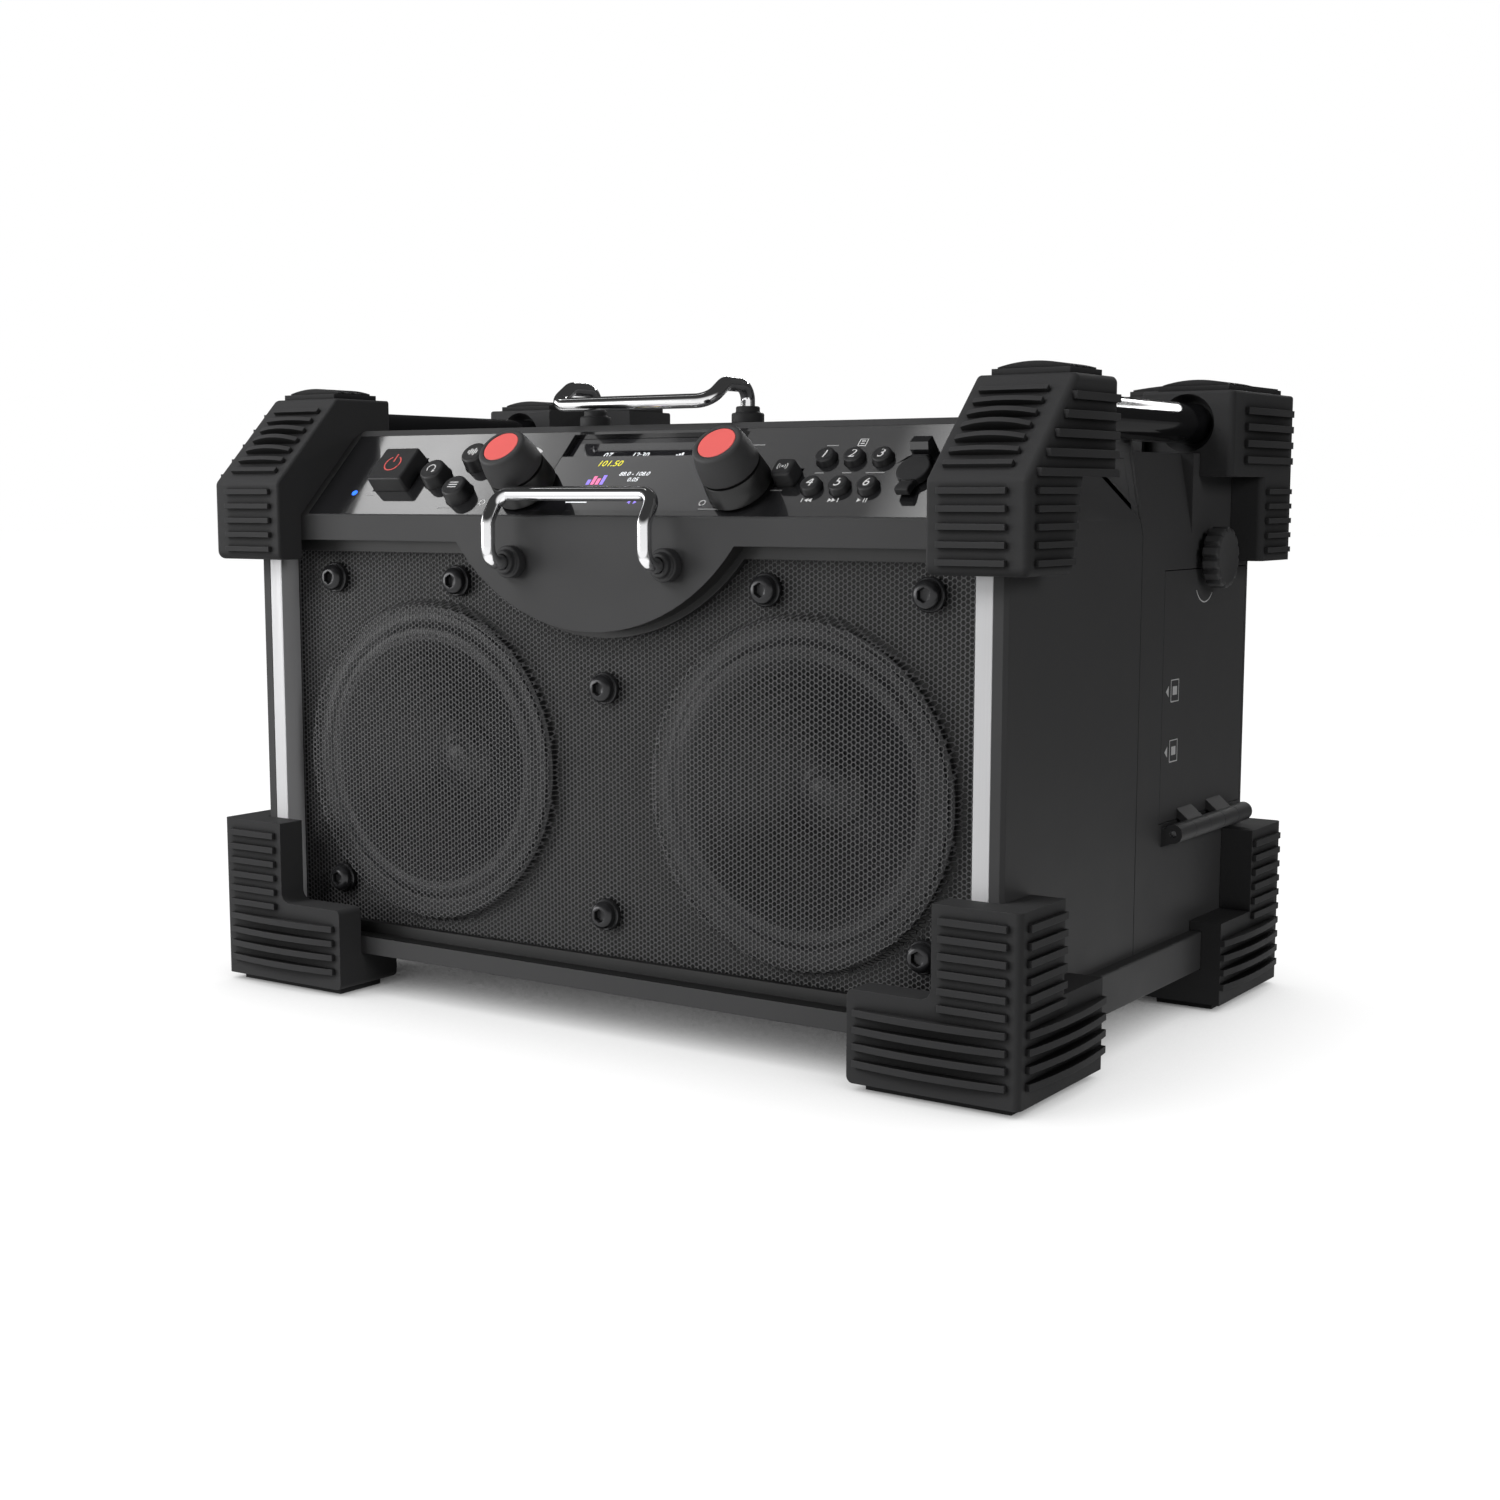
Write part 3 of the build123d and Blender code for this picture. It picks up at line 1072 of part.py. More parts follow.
def bottom_bumper():
    """The right front foot: a column with one arm under the front and one along the side."""
    with BuildPart() as bumper:
        with BuildSketch(across(FRONT + ARM)):
            with BuildLine():
                Polyline((SIDE, BASE), (SIDE, BASE + COLUMN), (SIDE - ARM, BASE + COLUMN),
                         (SIDE - ARM, BASE + ARM),
                         (SIDE - ARM_LENGTH, BASE + ARM), (SIDE - ARM_LENGTH, BASE), close=True)
            face = make_face()
            fillet(face.vertices().group_by(Axis.X)[0], CORNER_RADIUS)
        extrude(amount=ARM)
        with BuildSketch(Plane.YZ.offset(SIDE - ARM)):
            with BuildLine():
                Polyline((FRONT, BASE), (FRONT, BASE + COLUMN), (FRONT + ARM, BASE + COLUMN),
                         (FRONT + ARM, BASE + ARM),
                         (FRONT + SIDE_ARM_LENGTH, BASE + ARM), (FRONT + SIDE_ARM_LENGTH, BASE), close=True)
            make_face()
        extrude(amount=ARM)
        uprights = bumper.edges().filter_by(Axis.Z)
        fillet(uprights.group_by(Axis.Y)[0].sort_by(Axis.X)[-1], CORNER_RADIUS)
        fillet(bumper.edges().filter_by(Axis.Y).filter_by_position(Axis.X, SIDE - ARM - LAP, SIDE - ARM + LAP)
               .filter_by_position(Axis.Z, BASE + ARM - LAP, BASE + ARM + LAP), STEP_RADIUS)
        for n in range(COLUMN_RIBS):
            low = BASE + RIB_FIRST + n * RIB_PITCH
            reach, bulge = (ARM_LENGTH, RIB_BULGE) if n < LOW_RIBS else (ARM, 0)
            add(rib(FRONT_SIDE, SIDE - reach + RIB_EDGE, SIDE - RIB_MARGIN, low, RIB_HEIGHT, RIB_PROUD, bulge))
            reach = SIDE_ARM_LENGTH if n < LOW_RIBS else ARM - LAP
            add(rib(RIGHT_SIDE, FRONT + RIB_MARGIN, FRONT + reach, low, RIB_HEIGHT, RIB_PROUD, bulge))
        with BuildSketch():
            for x0, y1 in ((SIDE - ARM_LENGTH, FRONT + ARM), (SIDE - ARM, FRONT + SIDE_ARM_LENGTH)):
                with Locations(((x0 + SIDE) / 2, (FRONT + y1) / 2)):
                    Rectangle(SIDE - x0 - 2 * PAD_INSET, y1 - FRONT - 2 * PAD_INSET)
        extrude(amount=BASE + LAP)
        add(plain_body(-BUMPER_FIT), mode=Mode.SUBTRACT)
        add(box_between((0, FLANK + RAIL_PROUD + BUMPER_FIT), (FRONT + ARM / 2 - BUMPER_FIT, BACK),
                        (BASE + SIDE_RAIL_LOW - BUMPER_FIT, BASE + SIDE_RAIL_TOP + BUMPER_FIT)), mode=Mode.SUBTRACT)
    return bumper.part


def tube_bore(y0, y1):
    """The hole that a handle tube sits in."""
    with BuildPart() as bore:
        with BuildSketch(across(y1)):
            with Locations((TUBE_X, TUBE_Z)):
                Circle(TUBE_DIAMETER / 2 + TUBE_FIT)
        extrude(amount=y1 - y0)
    return bore.part


def tube_dish():
    """The flared hollow in a rear shoulder that its handle tube runs into."""
    mouth = BACK - REAR_ARM_LENGTH
    with BuildPart() as dish:
        with BuildSketch(Plane.XY.offset(TUBE_Z)):
            with BuildLine():
                lip = (TUBE_X + DISH_RADIUS, mouth)
                floor = (TUBE_X + DISH_FLOOR, mouth + DISH_DEPTH)
                Polyline(lip, (TUBE_X + DISH_RADIUS, mouth - LAP), (TUBE_X, mouth - LAP),
                         (TUBE_X, mouth + DISH_DEPTH), floor)
                RadiusArc(floor, lip, 2 * DISH_DEPTH)
            make_face()
        revolve(axis=Axis((TUBE_X, 0, TUBE_Z), (0, 1, 0)))
    return dish.part


def crown(x0, x1, y0, y1):
    """A pad on top of a bumper with ribs that are highest in the middle."""
    count = int((y1 - y0) // CROWN_PITCH)
    with BuildPart() as pad:
        add(box_between((x0, x1), (y0, y1), (TOP - LAP, TOP + CROWN_PAD)))
        for n in range(count):
            low = (y0 + y1) / 2 + (n - (count - 1) / 2) * CROWN_PITCH - CROWN_RIB / 2
            add(rib(CROWN, x0 + LAP, x1 - LAP, low, CROWN_RIB, CROWN_RISE / 4, CROWN_RISE * 3 / 4))
    return pad.part


def top_front_bumper():
    """The right front shoulder: a leg down the front, a slope and an arm back along the side."""
    with BuildPart() as bumper:
        with BuildSketch(Plane.YZ.offset(SIDE - TOP_ARM)):
            with BuildLine():
                Polyline((FRONT, TOP_LEG_LOW), (FRONT, SLOPE_LOW), (FRONT + SLOPE_DROP, TOP),
                         (FRONT + TOP_ARM_LENGTH, TOP),
                         (FRONT + TOP_ARM_LENGTH, TOP_ARM_LOW), (FRONT + TOP_LEG_NECK, TOP_ARM_LOW),
                         (FRONT + TOP_LEG_FOOT, TOP_LEG_LOW), close=True)
            make_face()
        extrude(amount=TOP_ARM)
        # round the bends down the front first, then the outline of each flank in front of and above it
        bends = bumper.edges().filter_by(Axis.X)
        fillet([bends.group_by(Axis.Z)[-1].sort_by(Axis.Y)[0], *bends.group_by(Axis.Y)[0]], BEND_RADIUS)
        flanks = bumper.faces().filter_by(Axis.X).sort_by(Axis.X)
        for flank, radius in ((flanks[-1], CORNER_RADIUS), (flanks[0], INNER_RADIUS)):
            outline = flank.edges().filter_by(lambda e: e.center().Z > TOP - LAP or e.center().Y < FRONT + LAP)
            fillet(outline, radius)
        x0, x1 = SIDE - TOP_ARM + RIB_MARGIN, SIDE - RIB_MARGIN - RIB_EDGE
        for n in range(LEG_RIBS):
            low = TOP_LEG_LOW + LEG_RIB_RISE + n * UPPER_RIB_PITCH
            add(rib(FRONT_SIDE, x0, x1, low, UPPER_RIB_HEIGHT, RIB_PROUD, 0))
            end = FRONT + TOP_LEG_FOOT + n * LEG_RIB_STEP
            add(rib(RIGHT_SIDE, FRONT + RIB_MARGIN, end, low, UPPER_RIB_HEIGHT, RIB_PROUD, 0))
        for n in range(SLOPE_RIBS):
            low = TOP_ARM_LOW - SLOPE_LOW + RIB_EDGE + n * UPPER_RIB_PITCH
            add(rib(SLOPE_SIDE, x0, x1, low, UPPER_RIB_HEIGHT, RIB_PROUD, SLOPE_BULGE[n]))
        for n in range(ARM_RIBS):
            low = TOP_ARM_LOW - ARM_RIB_SINK + n * ARM_RIB_PITCH
            start = FRONT + RIB_MARGIN + max(0, low - SLOPE_LOW)
            bulge = RIB_BULGE / 2 if 0 < n < ARM_RIBS - 1 else 0
            add(rib(RIGHT_SIDE, start, FRONT + TOP_ARM_LENGTH, low, ARM_RIB_HEIGHT, RIB_PROUD, bulge))
        add(crown(SIDE - TOP_ARM + CROWN_INSET, SIDE - CROWN_INSET, FRONT + TOP_PAD_START,
                  FRONT + TOP_ARM_LENGTH - CROWN_BACK))
        add(plain_body(-BUMPER_FIT), mode=Mode.SUBTRACT)
        add(tube_bore(FRONT + TOP_ARM_LENGTH - TUBE_BITE, BACK), mode=Mode.SUBTRACT)
    return bumper.part


def top_rear_bumper():
    """The right rear shoulder: an arm along the side, one along the back and a leg down the corner."""
    back0 = BACK - ARM
    arm_end = BACK - REAR_ARM_LENGTH
    with BuildPart() as bumper:
        add(box_between((SIDE - TOP_ARM, SIDE), (arm_end, BACK), (TOP_ARM_LOW, TOP)))
        add(box_between((SIDE - REAR_ARM_REACH, SIDE), (back0, BACK), (TOP_ARM_LOW, TOP)))
        add(box_between((SIDE - TOP_ARM, SIDE), (back0, BACK), (TOP_LEG_LOW, TOP)))
        fillet(bumper.edges().filter_by(Axis.Z).group_by(Axis.X)[-1], CORNER_RADIUS)
        rim = bumper.faces().sort_by(Axis.Z)[-1].edges()
        fillet(rim.filter_by(lambda e: e.center().X > SIDE - LAP or e.center().Y > BACK - LAP), INNER_RADIUS)
        for n in range(LEG_RIBS):
            low = TOP_LEG_LOW + LEG_RIB_RISE + n * UPPER_RIB_PITCH
            for face, start, end in ((RIGHT_SIDE, back0 + RIB_EDGE, BACK - RIB_MARGIN),
                                     (BACK_SIDE, RIB_MARGIN - SIDE, TOP_ARM - RIB_EDGE - SIDE)):
                add(rib(face, start, end, low, UPPER_RIB_HEIGHT, RIB_PROUD, 0))
        for n in range(ARM_RIBS - 1):
            low = TOP_ARM_LOW - ARM_RIB_SINK + (n + 1) * ARM_RIB_PITCH
            bulge = RIB_BULGE / 2 if n else 0
            for face, start, end in ((RIGHT_SIDE, arm_end + REAR_RIB_START, BACK - RIB_MARGIN),
                                     (BACK_SIDE, RIB_MARGIN - SIDE, REAR_ARM_REACH - RIB_EDGE - SIDE)):
                add(rib(face, start, end, low, ARM_RIB_HEIGHT, RIB_PROUD, bulge))
        add(crown(SIDE - TOP_ARM + CROWN_INSET, SIDE - CROWN_INSET, arm_end + PAD_INSET, back0 + LAP))
        add(crown(SIDE - REAR_ARM_REACH + LAP, SIDE - CROWN_INSET, back0 + LAP, BACK - PAD_INSET))
        add(plain_body(-BUMPER_FIT), mode=Mode.SUBTRACT)
        add(tube_bore(FRONT, REAR_TUBE_END), mode=Mode.SUBTRACT)
        add(tube_dish(), mode=Mode.SUBTRACT)
    return bumper.part


FOOT = bottom_bumper()
BUMPERS = {"bottom_bumper_front": FOOT, "bottom_bumper_rear": FOOT.mirror(across(MIDDLE)),
           "top_bumper_front": top_front_bumper(), "top_bumper_rear": top_rear_bumper()}
for name, shape in BUMPERS.items():
    for side, placed in (("right", shape), ("left", shape.mirror(Plane.YZ))):
        with BuildPart() as bumper:
            add(placed)
        save(bumper.part, f"{name}_{side}")

# ---------------------------------------------------------------- electronics in the rear housing

with BuildPart() as amplifier_board:
    with BuildSketch(across(AMP_Y)):
        with Locations(AMP_CENTRE):
            Rectangle(AMP_WIDTH, AMP_HEIGHT)
    extrude(amount=BOARD)
    # heat sink: a plate with upright fins
    with BuildSketch(across(AMP_Y - BOARD)):
        with Locations(AMP_CENTRE):
            Rectangle(HEAT_SINK[0], HEAT_SINK[2])
    extrude(amount=FIN)
    with BuildSketch(across(AMP_Y - BOARD)):
        with Locations(AMP_CENTRE):
            with GridLocations((HEAT_SINK[0] - FIN) / (FINS - 1), 1, FINS, 1):
                Rectangle(FIN, HEAT_SINK[2])
    extrude(amount=HEAT_SINK[1])
save(amplifier_board.part, "amplifier_board")

with BuildPart() as power_transformer:
    low = FLOOR + WALL
    middle = (CORE_X, BACK - CORE_FORWARD)
    with BuildSketch(Plane.XY.offset(low)):
        with Locations(middle):
            Rectangle(STRAP_LENGTH, CORE[1])
            with GridLocations(STRAP_LENGTH - 2 * STRAP_HOLE_IN, 1, 2, 1):
                Circle(SCREW_SHANK / 2, mode=Mode.SUBTRACT)
    extrude(amount=STRAP)
    with BuildSketch(Plane.XY.offset(low)):
        with Locations(middle):
            Rectangle(CORE[0], CORE[1])
    extrude(amount=CORE[2])
    with BuildSketch(Plane.XY.offset(low + (CORE[2] - COIL[2]) / 2)):
        with Locations(middle):
            Rectangle(COIL[0], COIL[1])
    extrude(amount=COIL[2])
save(power_transformer.part, "power_transformer")
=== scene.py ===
"""Finishes of a jobsite radio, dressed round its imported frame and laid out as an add-on.

The frame gives every place. New pieces are grids and swept profiles worked out with numpy, in metres; sizes
that are written in millimetres are multiplied by MM.
"""

import json
import math

import bmesh
import bpy
import numpy as np
from bpy.props import FloatProperty, FloatVectorProperty, IntProperty, PointerProperty
from mathutils import Matrix, Vector

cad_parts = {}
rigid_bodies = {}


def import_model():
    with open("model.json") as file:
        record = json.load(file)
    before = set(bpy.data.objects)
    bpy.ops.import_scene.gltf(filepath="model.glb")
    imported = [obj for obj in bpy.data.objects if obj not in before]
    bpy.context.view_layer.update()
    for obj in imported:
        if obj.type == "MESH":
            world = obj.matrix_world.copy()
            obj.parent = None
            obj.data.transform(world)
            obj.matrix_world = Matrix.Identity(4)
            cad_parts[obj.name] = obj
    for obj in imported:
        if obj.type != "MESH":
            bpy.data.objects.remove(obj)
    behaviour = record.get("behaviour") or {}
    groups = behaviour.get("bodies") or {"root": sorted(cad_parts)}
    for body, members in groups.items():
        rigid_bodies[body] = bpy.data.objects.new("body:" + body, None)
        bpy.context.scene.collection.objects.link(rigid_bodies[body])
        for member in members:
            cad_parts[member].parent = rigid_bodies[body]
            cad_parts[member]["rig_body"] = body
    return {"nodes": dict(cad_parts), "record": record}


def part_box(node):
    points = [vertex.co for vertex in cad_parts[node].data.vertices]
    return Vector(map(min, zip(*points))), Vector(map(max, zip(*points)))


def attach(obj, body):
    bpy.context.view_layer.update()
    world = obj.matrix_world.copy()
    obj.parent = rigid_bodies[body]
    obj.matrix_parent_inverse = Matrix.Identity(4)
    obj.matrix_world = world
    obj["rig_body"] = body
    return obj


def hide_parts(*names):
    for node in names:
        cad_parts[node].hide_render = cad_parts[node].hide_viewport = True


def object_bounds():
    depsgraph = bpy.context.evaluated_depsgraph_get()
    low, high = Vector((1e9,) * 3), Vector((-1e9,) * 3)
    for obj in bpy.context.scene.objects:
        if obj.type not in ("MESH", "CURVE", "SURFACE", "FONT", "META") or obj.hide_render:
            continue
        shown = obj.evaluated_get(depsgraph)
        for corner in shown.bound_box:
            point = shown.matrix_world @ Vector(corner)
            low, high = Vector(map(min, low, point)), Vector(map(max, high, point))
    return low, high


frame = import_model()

CAD_BOX = [list(corner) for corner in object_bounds()]

bl_info = {
    "name": "Jobsite Radio Finishes",
    "version": (1, 0, 0),
    "blender": (4, 5, 0),
    "location": "3D View > Sidebar > Radio",
    "description": "Builds the visible pieces and finishes of a jobsite radio round its frame",
    "category": "Object",
}

# ---------------------------------------------------------------- places read from the frame

MM = 0.001
NODES = frame["nodes"]
SLOTS = {row["node"]: row["material_slot"] for row in frame["record"]["subparts"]}
CABINET = "cabinet"
SIDES = ("left", "right")
RIGHT = Vector((1, 0, 0))
BACK = Vector((0, 1, 0))
UP = Vector((0, 0, 1))
OUT = Vector((0, -1, 1)).normalized()
UPHILL = Vector((0, 1, 1)).normalized()

HOUSING_LOW, HOUSING_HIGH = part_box("front_housing")
GRILLE_LOW, GRILLE_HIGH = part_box("speaker_grille")
FLANK = HOUSING_HIGH.x
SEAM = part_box("rear_housing")[0].y
SHEET_FACE = GRILLE_HIGH.y - 1.2 * MM
BEND_DROP = 42 * MM
PANEL_ORIGIN = Vector((0, HOUSING_LOW.y, HOUSING_HIGH.z - BEND_DROP))


def middle(node):
    """Middle of a CAD node's box."""
    low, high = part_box(node)
    return (low + high) / 2


def body_of(node):
    """Name of the body that a CAD node rides on."""
    return NODES[node]["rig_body"]


def axes_at(origin, across, up, out):
    """Matrix of a place with its own three directions."""
    return Matrix.Translation(origin) @ Matrix((across, up, out)).transposed().to_4x4()


def on_panel(x, s, h=0.0):
    """Point of the control panel in millimetres: x to the right, s up the slope, h out of it."""
    return PANEL_ORIGIN + (RIGHT * x + UPHILL * s + OUT * h) * MM


def panel_place(point):
    """Panel coordinates x and s, in millimetres, of a point in the frame."""
    step = point - PANEL_ORIGIN
    return step.x / MM, step.dot(UPHILL) / MM


def panel_spot(x, s, h=0.0):
    """Matrix of a spot on the control panel, in millimetres along it."""
    return axes_at(on_panel(x, s, h), RIGHT, UPHILL, OUT)


DOOR_PLACE = axes_at(RIGHT * FLANK, BACK, UP, RIGHT)


# ---------------------------------------------------------------- settings a user would change

def length(name, description, default, smallest=0.0):
    """A length that a user may change, its default and its smallest value in millimetres."""
    return FloatProperty(name=name, description=description, default=default * MM, min=smallest * MM,
                         subtype="DISTANCE", unit="LENGTH")


def tint(name, description, *default):
    """A colour that a user may change, as linear values."""
    return FloatVectorProperty(name=name, description=description, subtype="COLOR", default=default)


class RadioSizes(bpy.types.PropertyGroup):
    """Sizes of the pieces that the frame leaves open."""

    hole_pitch: length("Hole pitch", "Distance between neighbouring holes of the grille", 2.4, 1)
    hole_width: length("Hole width", "Width of one six-sided hole across its flats", 2.05, 0.5)
    sheet: length("Grille sheet", "Thickness of the perforated sheet", 0.5, 0.2)
    plastic_edge: length("Plastic edge", "Radius of the rounded edges of rails and trims", 0.35)
    print_height: length("Print height", "How far printed marks stand proud of their surface", 0.03, 0.005)
    around: IntProperty(name="Segments around", description="Segments round a turned piece", default=96,
                        min=16)


class RadioColours(bpy.types.PropertyGroup):
    """Colours of the finishes, as linear values."""

    housing: tint("Housing", "Moulded housing", 0.056, 0.056, 0.057)
    # Darker colour of the faces set back round the grille, also used by the knob skirts and the display
    # module.
    recess: tint("Grille frame", "Painted step round the grille", 0.012, 0.012, 0.012)
    rubber: tint("Rubber", "Bumper rubber", 0.045, 0.045, 0.046)
    panel: tint("Panel", "Gloss control panel", 0.014, 0.014, 0.015)
    keys: tint("Keys", "Keys and knobs", 0.026, 0.026, 0.027)
    discs: tint("Knob discs", "Red discs on the knobs", 0.85, 0.14, 0.13)
    grille: tint("Grille", "Powder coat of the grille", 0.115, 0.115, 0.117)
    trim: tint("Trim", "Satin corner trims", 0.66, 0.66, 0.67)
    marks: tint("Print", "Printed marks", 0.78, 0.78, 0.78)


# ---------------------------------------------------------------- shader helpers

def feed(tree, inputs, values):
    """Sets inputs to constants or links, by name or number."""
    for key, value in values.items():
        if isinstance(value, bpy.types.NodeSocket):
            tree.links.new(value, inputs[key])
        else:
            inputs[key].default_value = value


def place(tree, kind, values=None, **settings):
    """Adds a shader node, feeds its inputs and gives its outputs."""
    made = tree.nodes.new(f"ShaderNode{kind}")
    for key, value in settings.items():
        setattr(made, key, value)
    feed(tree, made.inputs, values or {})
    return made.outputs


def group_node(tree, name, values):
    """Adds one of the shared groups, feeds its inputs and gives its outputs."""
    made = tree.nodes.new("ShaderNodeGroup")
    made.node_tree = bpy.data.node_groups[name]
    feed(tree, made.inputs, values)
    return made.outputs


def reckon(tree, operation, *values, **settings):
    """One step of arithmetic."""
    return place(tree, "Math", dict(enumerate(values)), operation=operation, **settings)[0]


def ramp(tree, value, start, end, low=0.0, high=1.0, **settings):
    """A value between start and end mapped to a range from low to high."""
    ends = {"From Min": start, "From Max": end, "To Min": low, "To Max": high}
    return place(tree, "MapRange", {"Value": value, **ends}, **settings)["Result"]


def spread(tree, factor, low, high):
    """The middle part of a noise mapped to a range."""
    return ramp(tree, factor, 0.3, 0.7, low, high)


def here(tree):
    """A spot's place on its piece, in metres."""
    return place(tree, "TexCoord")["Object"]


def noise(tree, where, scale, detail, roughness=0.5):
    """Cloudy noise from 0 to 1."""
    return place(tree, "TexNoise", {"Vector": where, "Scale": scale, "Detail": detail,
                                    "Roughness": roughness})["Fac"]


def relief(tree, height, strength, distance, radius):
    """Normal of a fine relief over edges that are rounded by a radius."""
    soft = place(tree, "Bevel", {"Radius": radius}, samples=4)
    return place(tree, "Bump", {"Strength": strength, "Distance": distance, "Height": height,
                                "Normal": soft["Normal"]})["Normal"]


def blend(tree, factor, first, second):
    """A colour mixed by a factor from two, each given as three channels or as a link."""
    ends = [end if isinstance(end, bpy.types.NodeSocket) else (*end, 1) for end in (first, second)]
    return place(tree, "Mix", {"Factor": factor, "A": ends[0], "B": ends[1]}, data_type="RGBA")[2]


def shade(colour, gain):
    """A colour made lighter or darker by a gain."""
    return [min(1.0, channel * gain) for channel in colour]


def new_group(name, inputs, outputs):
    """An empty shader group: its tree, what it is given and its results.

    inputs holds (name, default), where a number makes a float socket and a tuple a vector; outputs holds
    names, of which Normal is a vector and the others are floats."""
    tree = bpy.data.node_groups.new(name, "ShaderNodeTree")
    for label, default in inputs:
        kind = "NodeSocketVector" if isinstance(default, tuple) else "NodeSocketFloat"
        tree.interface.new_socket(label, in_out="INPUT", socket_type=kind).default_value = default
    for label in outputs:
        kind = "NodeSocketVector" if label == "Normal" else "NodeSocketFloat"
        tree.interface.new_socket(label, in_out="OUTPUT", socket_type=kind)
    return tree, tree.nodes.new("NodeGroupInput").outputs, tree.nodes.new("NodeGroupOutput").inputs


def moulded_surface_group():
    """Fine grain on softly rounded edges, a slow mottle of colour and roughness, and how open a spot lies,
    which the moulded finishes use to paint shade into grooves.
    """
    tree, given, result = new_group(
        "moulded_surface", [("Grain Scale", 1400.0), ("Grain Depth", 0.1), ("Edge Radius", 0.4 * MM)],
        ["Normal", "Mottle", "Open"])
    where = here(tree)
    cells = place(tree, "TexVoronoi", {"Vector": where, "Scale": given["Grain Scale"]}, feature="SMOOTH_F1")
    height = reckon(tree, "ADD", noise(tree, where, given["Grain Scale"], 3.0, 0.6), cells["Distance"])
    # Ambient occlusion: where it is low, the moulded finishes darken the colour as painted shade.
    painted_cavity_shade = place(tree, "AmbientOcclusion", {"Distance": 7 * MM}, samples=8, only_local=True)
    feed(tree, result, {"Normal": relief(tree, height, given["Grain Depth"], 0.2 * MM, given["Edge Radius"]),
                        "Mottle": noise(tree, where, 22.0, 4.0, 0.6),
                        "Open": ramp(tree, painted_cavity_shade["AO"], 0.4, 0.9)})


def edge_rub_group():
    """Mask of bent edges, in patches, where the moulded finishes paint a highlight into the colour."""
    tree, given, result = new_group("edge_highlight", [("Width", 0.8 * MM), ("Amount", 1.0)], ["Mask"])
    rounded = place(tree, "Bevel", {"Radius": given["Width"]}, samples=6)
    turn = place(tree, "VectorMath", {0: rounded["Normal"], 1: place(tree, "NewGeometry")["Normal"]},
                 operation="DOT_PRODUCT")
    bent = ramp(tree, turn["Value"], 0.99, 0.8)
    patchy = reckon(tree, "MULTIPLY", bent, noise(tree, here(tree), 160.0, 3.0))
    feed(tree, result, {"Mask": reckon(tree, "MULTIPLY", patchy, given["Amount"])})


def streak_group():
    """Long fine streaks along one axis, as brushing leaves them."""
    tree, given, result = new_group(
        "brushed_streaks", [("Stretch", (2000.0, 2000.0, 12.0)), ("Depth", 0.1)], ["Normal", "Streak"])
    long = place(tree, "VectorMath", {0: here(tree), 1: given["Stretch"]}, operation="MULTIPLY")[0]
    streak = noise(tree, long, 1.0, 3.0)
    feed(tree, result, {"Normal": relief(tree, streak, given["Depth"], 0.1 * MM, 0.4 * MM), "Streak": streak})


# ---------------------------------------------------------------- materials

WHITE = (1, 1, 1, 1)


def start_material(name):
    """An empty material with a Principled shader: its tree and the shader's inputs."""
    material = bpy.data.materials.new(name)
    material.use_nodes = True
    tree = material.node_tree
    tree.nodes.clear()
    shader = tree.nodes.new("ShaderNodeBsdfPrincipled")
    place(tree, "OutputMaterial")
    show(tree, shader.outputs["BSDF"])
    return tree, shader.inputs


def show(tree, surface):
    """Makes a shader the surface of a material."""
    output = next(node for node in tree.nodes if node.type == "OUTPUT_MATERIAL")
    feed(tree, output.inputs, {"Surface": surface})


def moulded(name, colour, rough, grain_scale, grain_depth, edge, rub=0.5, specular=0.5, painted_cavity_shade=0.6):
    """Moulded plastic or rubber: grain, slow mottle, softly rounded edges lightened in patches as a painted
    highlight, and painted shade in grooves.

    painted_cavity_shade is the share of the colour that is left where neighbouring faces close a spot in, as
    painted shade; rub is how strongly the painted highlight lightens the edges."""
    tree, shader = start_material(name)
    surface = group_node(tree, "moulded_surface", {"Grain Scale": grain_scale, "Grain Depth": grain_depth,
                                                   "Edge Radius": edge})
    # Painted highlight: the colour is lightened 1.7 times along bent edges, in patches.
    highlight_edges = group_node(tree, "edge_highlight", {"Width": 2 * edge, "Amount": rub})
    base = blend(tree, surface["Mottle"], shade(colour, 0.9), shade(colour, 1.1))
    highlighted_base = blend(tree, highlight_edges["Mask"], base, shade(colour, 1.7))
    # Painted shade: the colour drops to a share of itself where neighbouring faces close a spot in.
    feed(tree, shader, {"Base Color": blend(tree, surface["Open"], shade(colour, painted_cavity_shade), highlighted_base),
                        "Roughness": spread(tree, surface["Mottle"], rough - 0.04, rough + 0.05),
                        "Normal": surface["Normal"], "Specular IOR Level": specular})


def gloss(name, colour, rough, coat=1.0):
    """Smooth coated plastic with a very faint unevenness in its gloss."""
    tree, shader = start_material(name)
    surface = group_node(tree, "moulded_surface", {"Grain Scale": 300.0, "Grain Depth": 0.01,
                                                   "Edge Radius": 0.3 * MM})
    base = blend(tree, surface["Mottle"], shade(colour, 0.93), shade(colour, 1.07))
    feed(tree, shader, {"Base Color": base,
                        "Roughness": spread(tree, surface["Mottle"], rough - 0.02, rough + 0.03),
                        "Normal": surface["Normal"], "Coat Weight": coat, "Coat Roughness": 0.03})


def metal(name, colour, rough, stretch, depth, metallic=1.0):
    """Brushed, drawn or plated metal whose streaks run along the axis with the smallest stretch."""
    tree, shader = start_material(name)
    lines = group_node(tree, "brushed_streaks", {"Stretch": stretch, "Depth": depth})
    feed(tree, shader, {"Base Color": blend(tree, lines["Streak"], shade(colour, 0.94), shade(colour, 1.05)),
                        "Roughness": spread(tree, lines["Streak"], rough * 0.8, rough * 1.2),
                        "Normal": lines["Normal"], "Metallic": metallic})


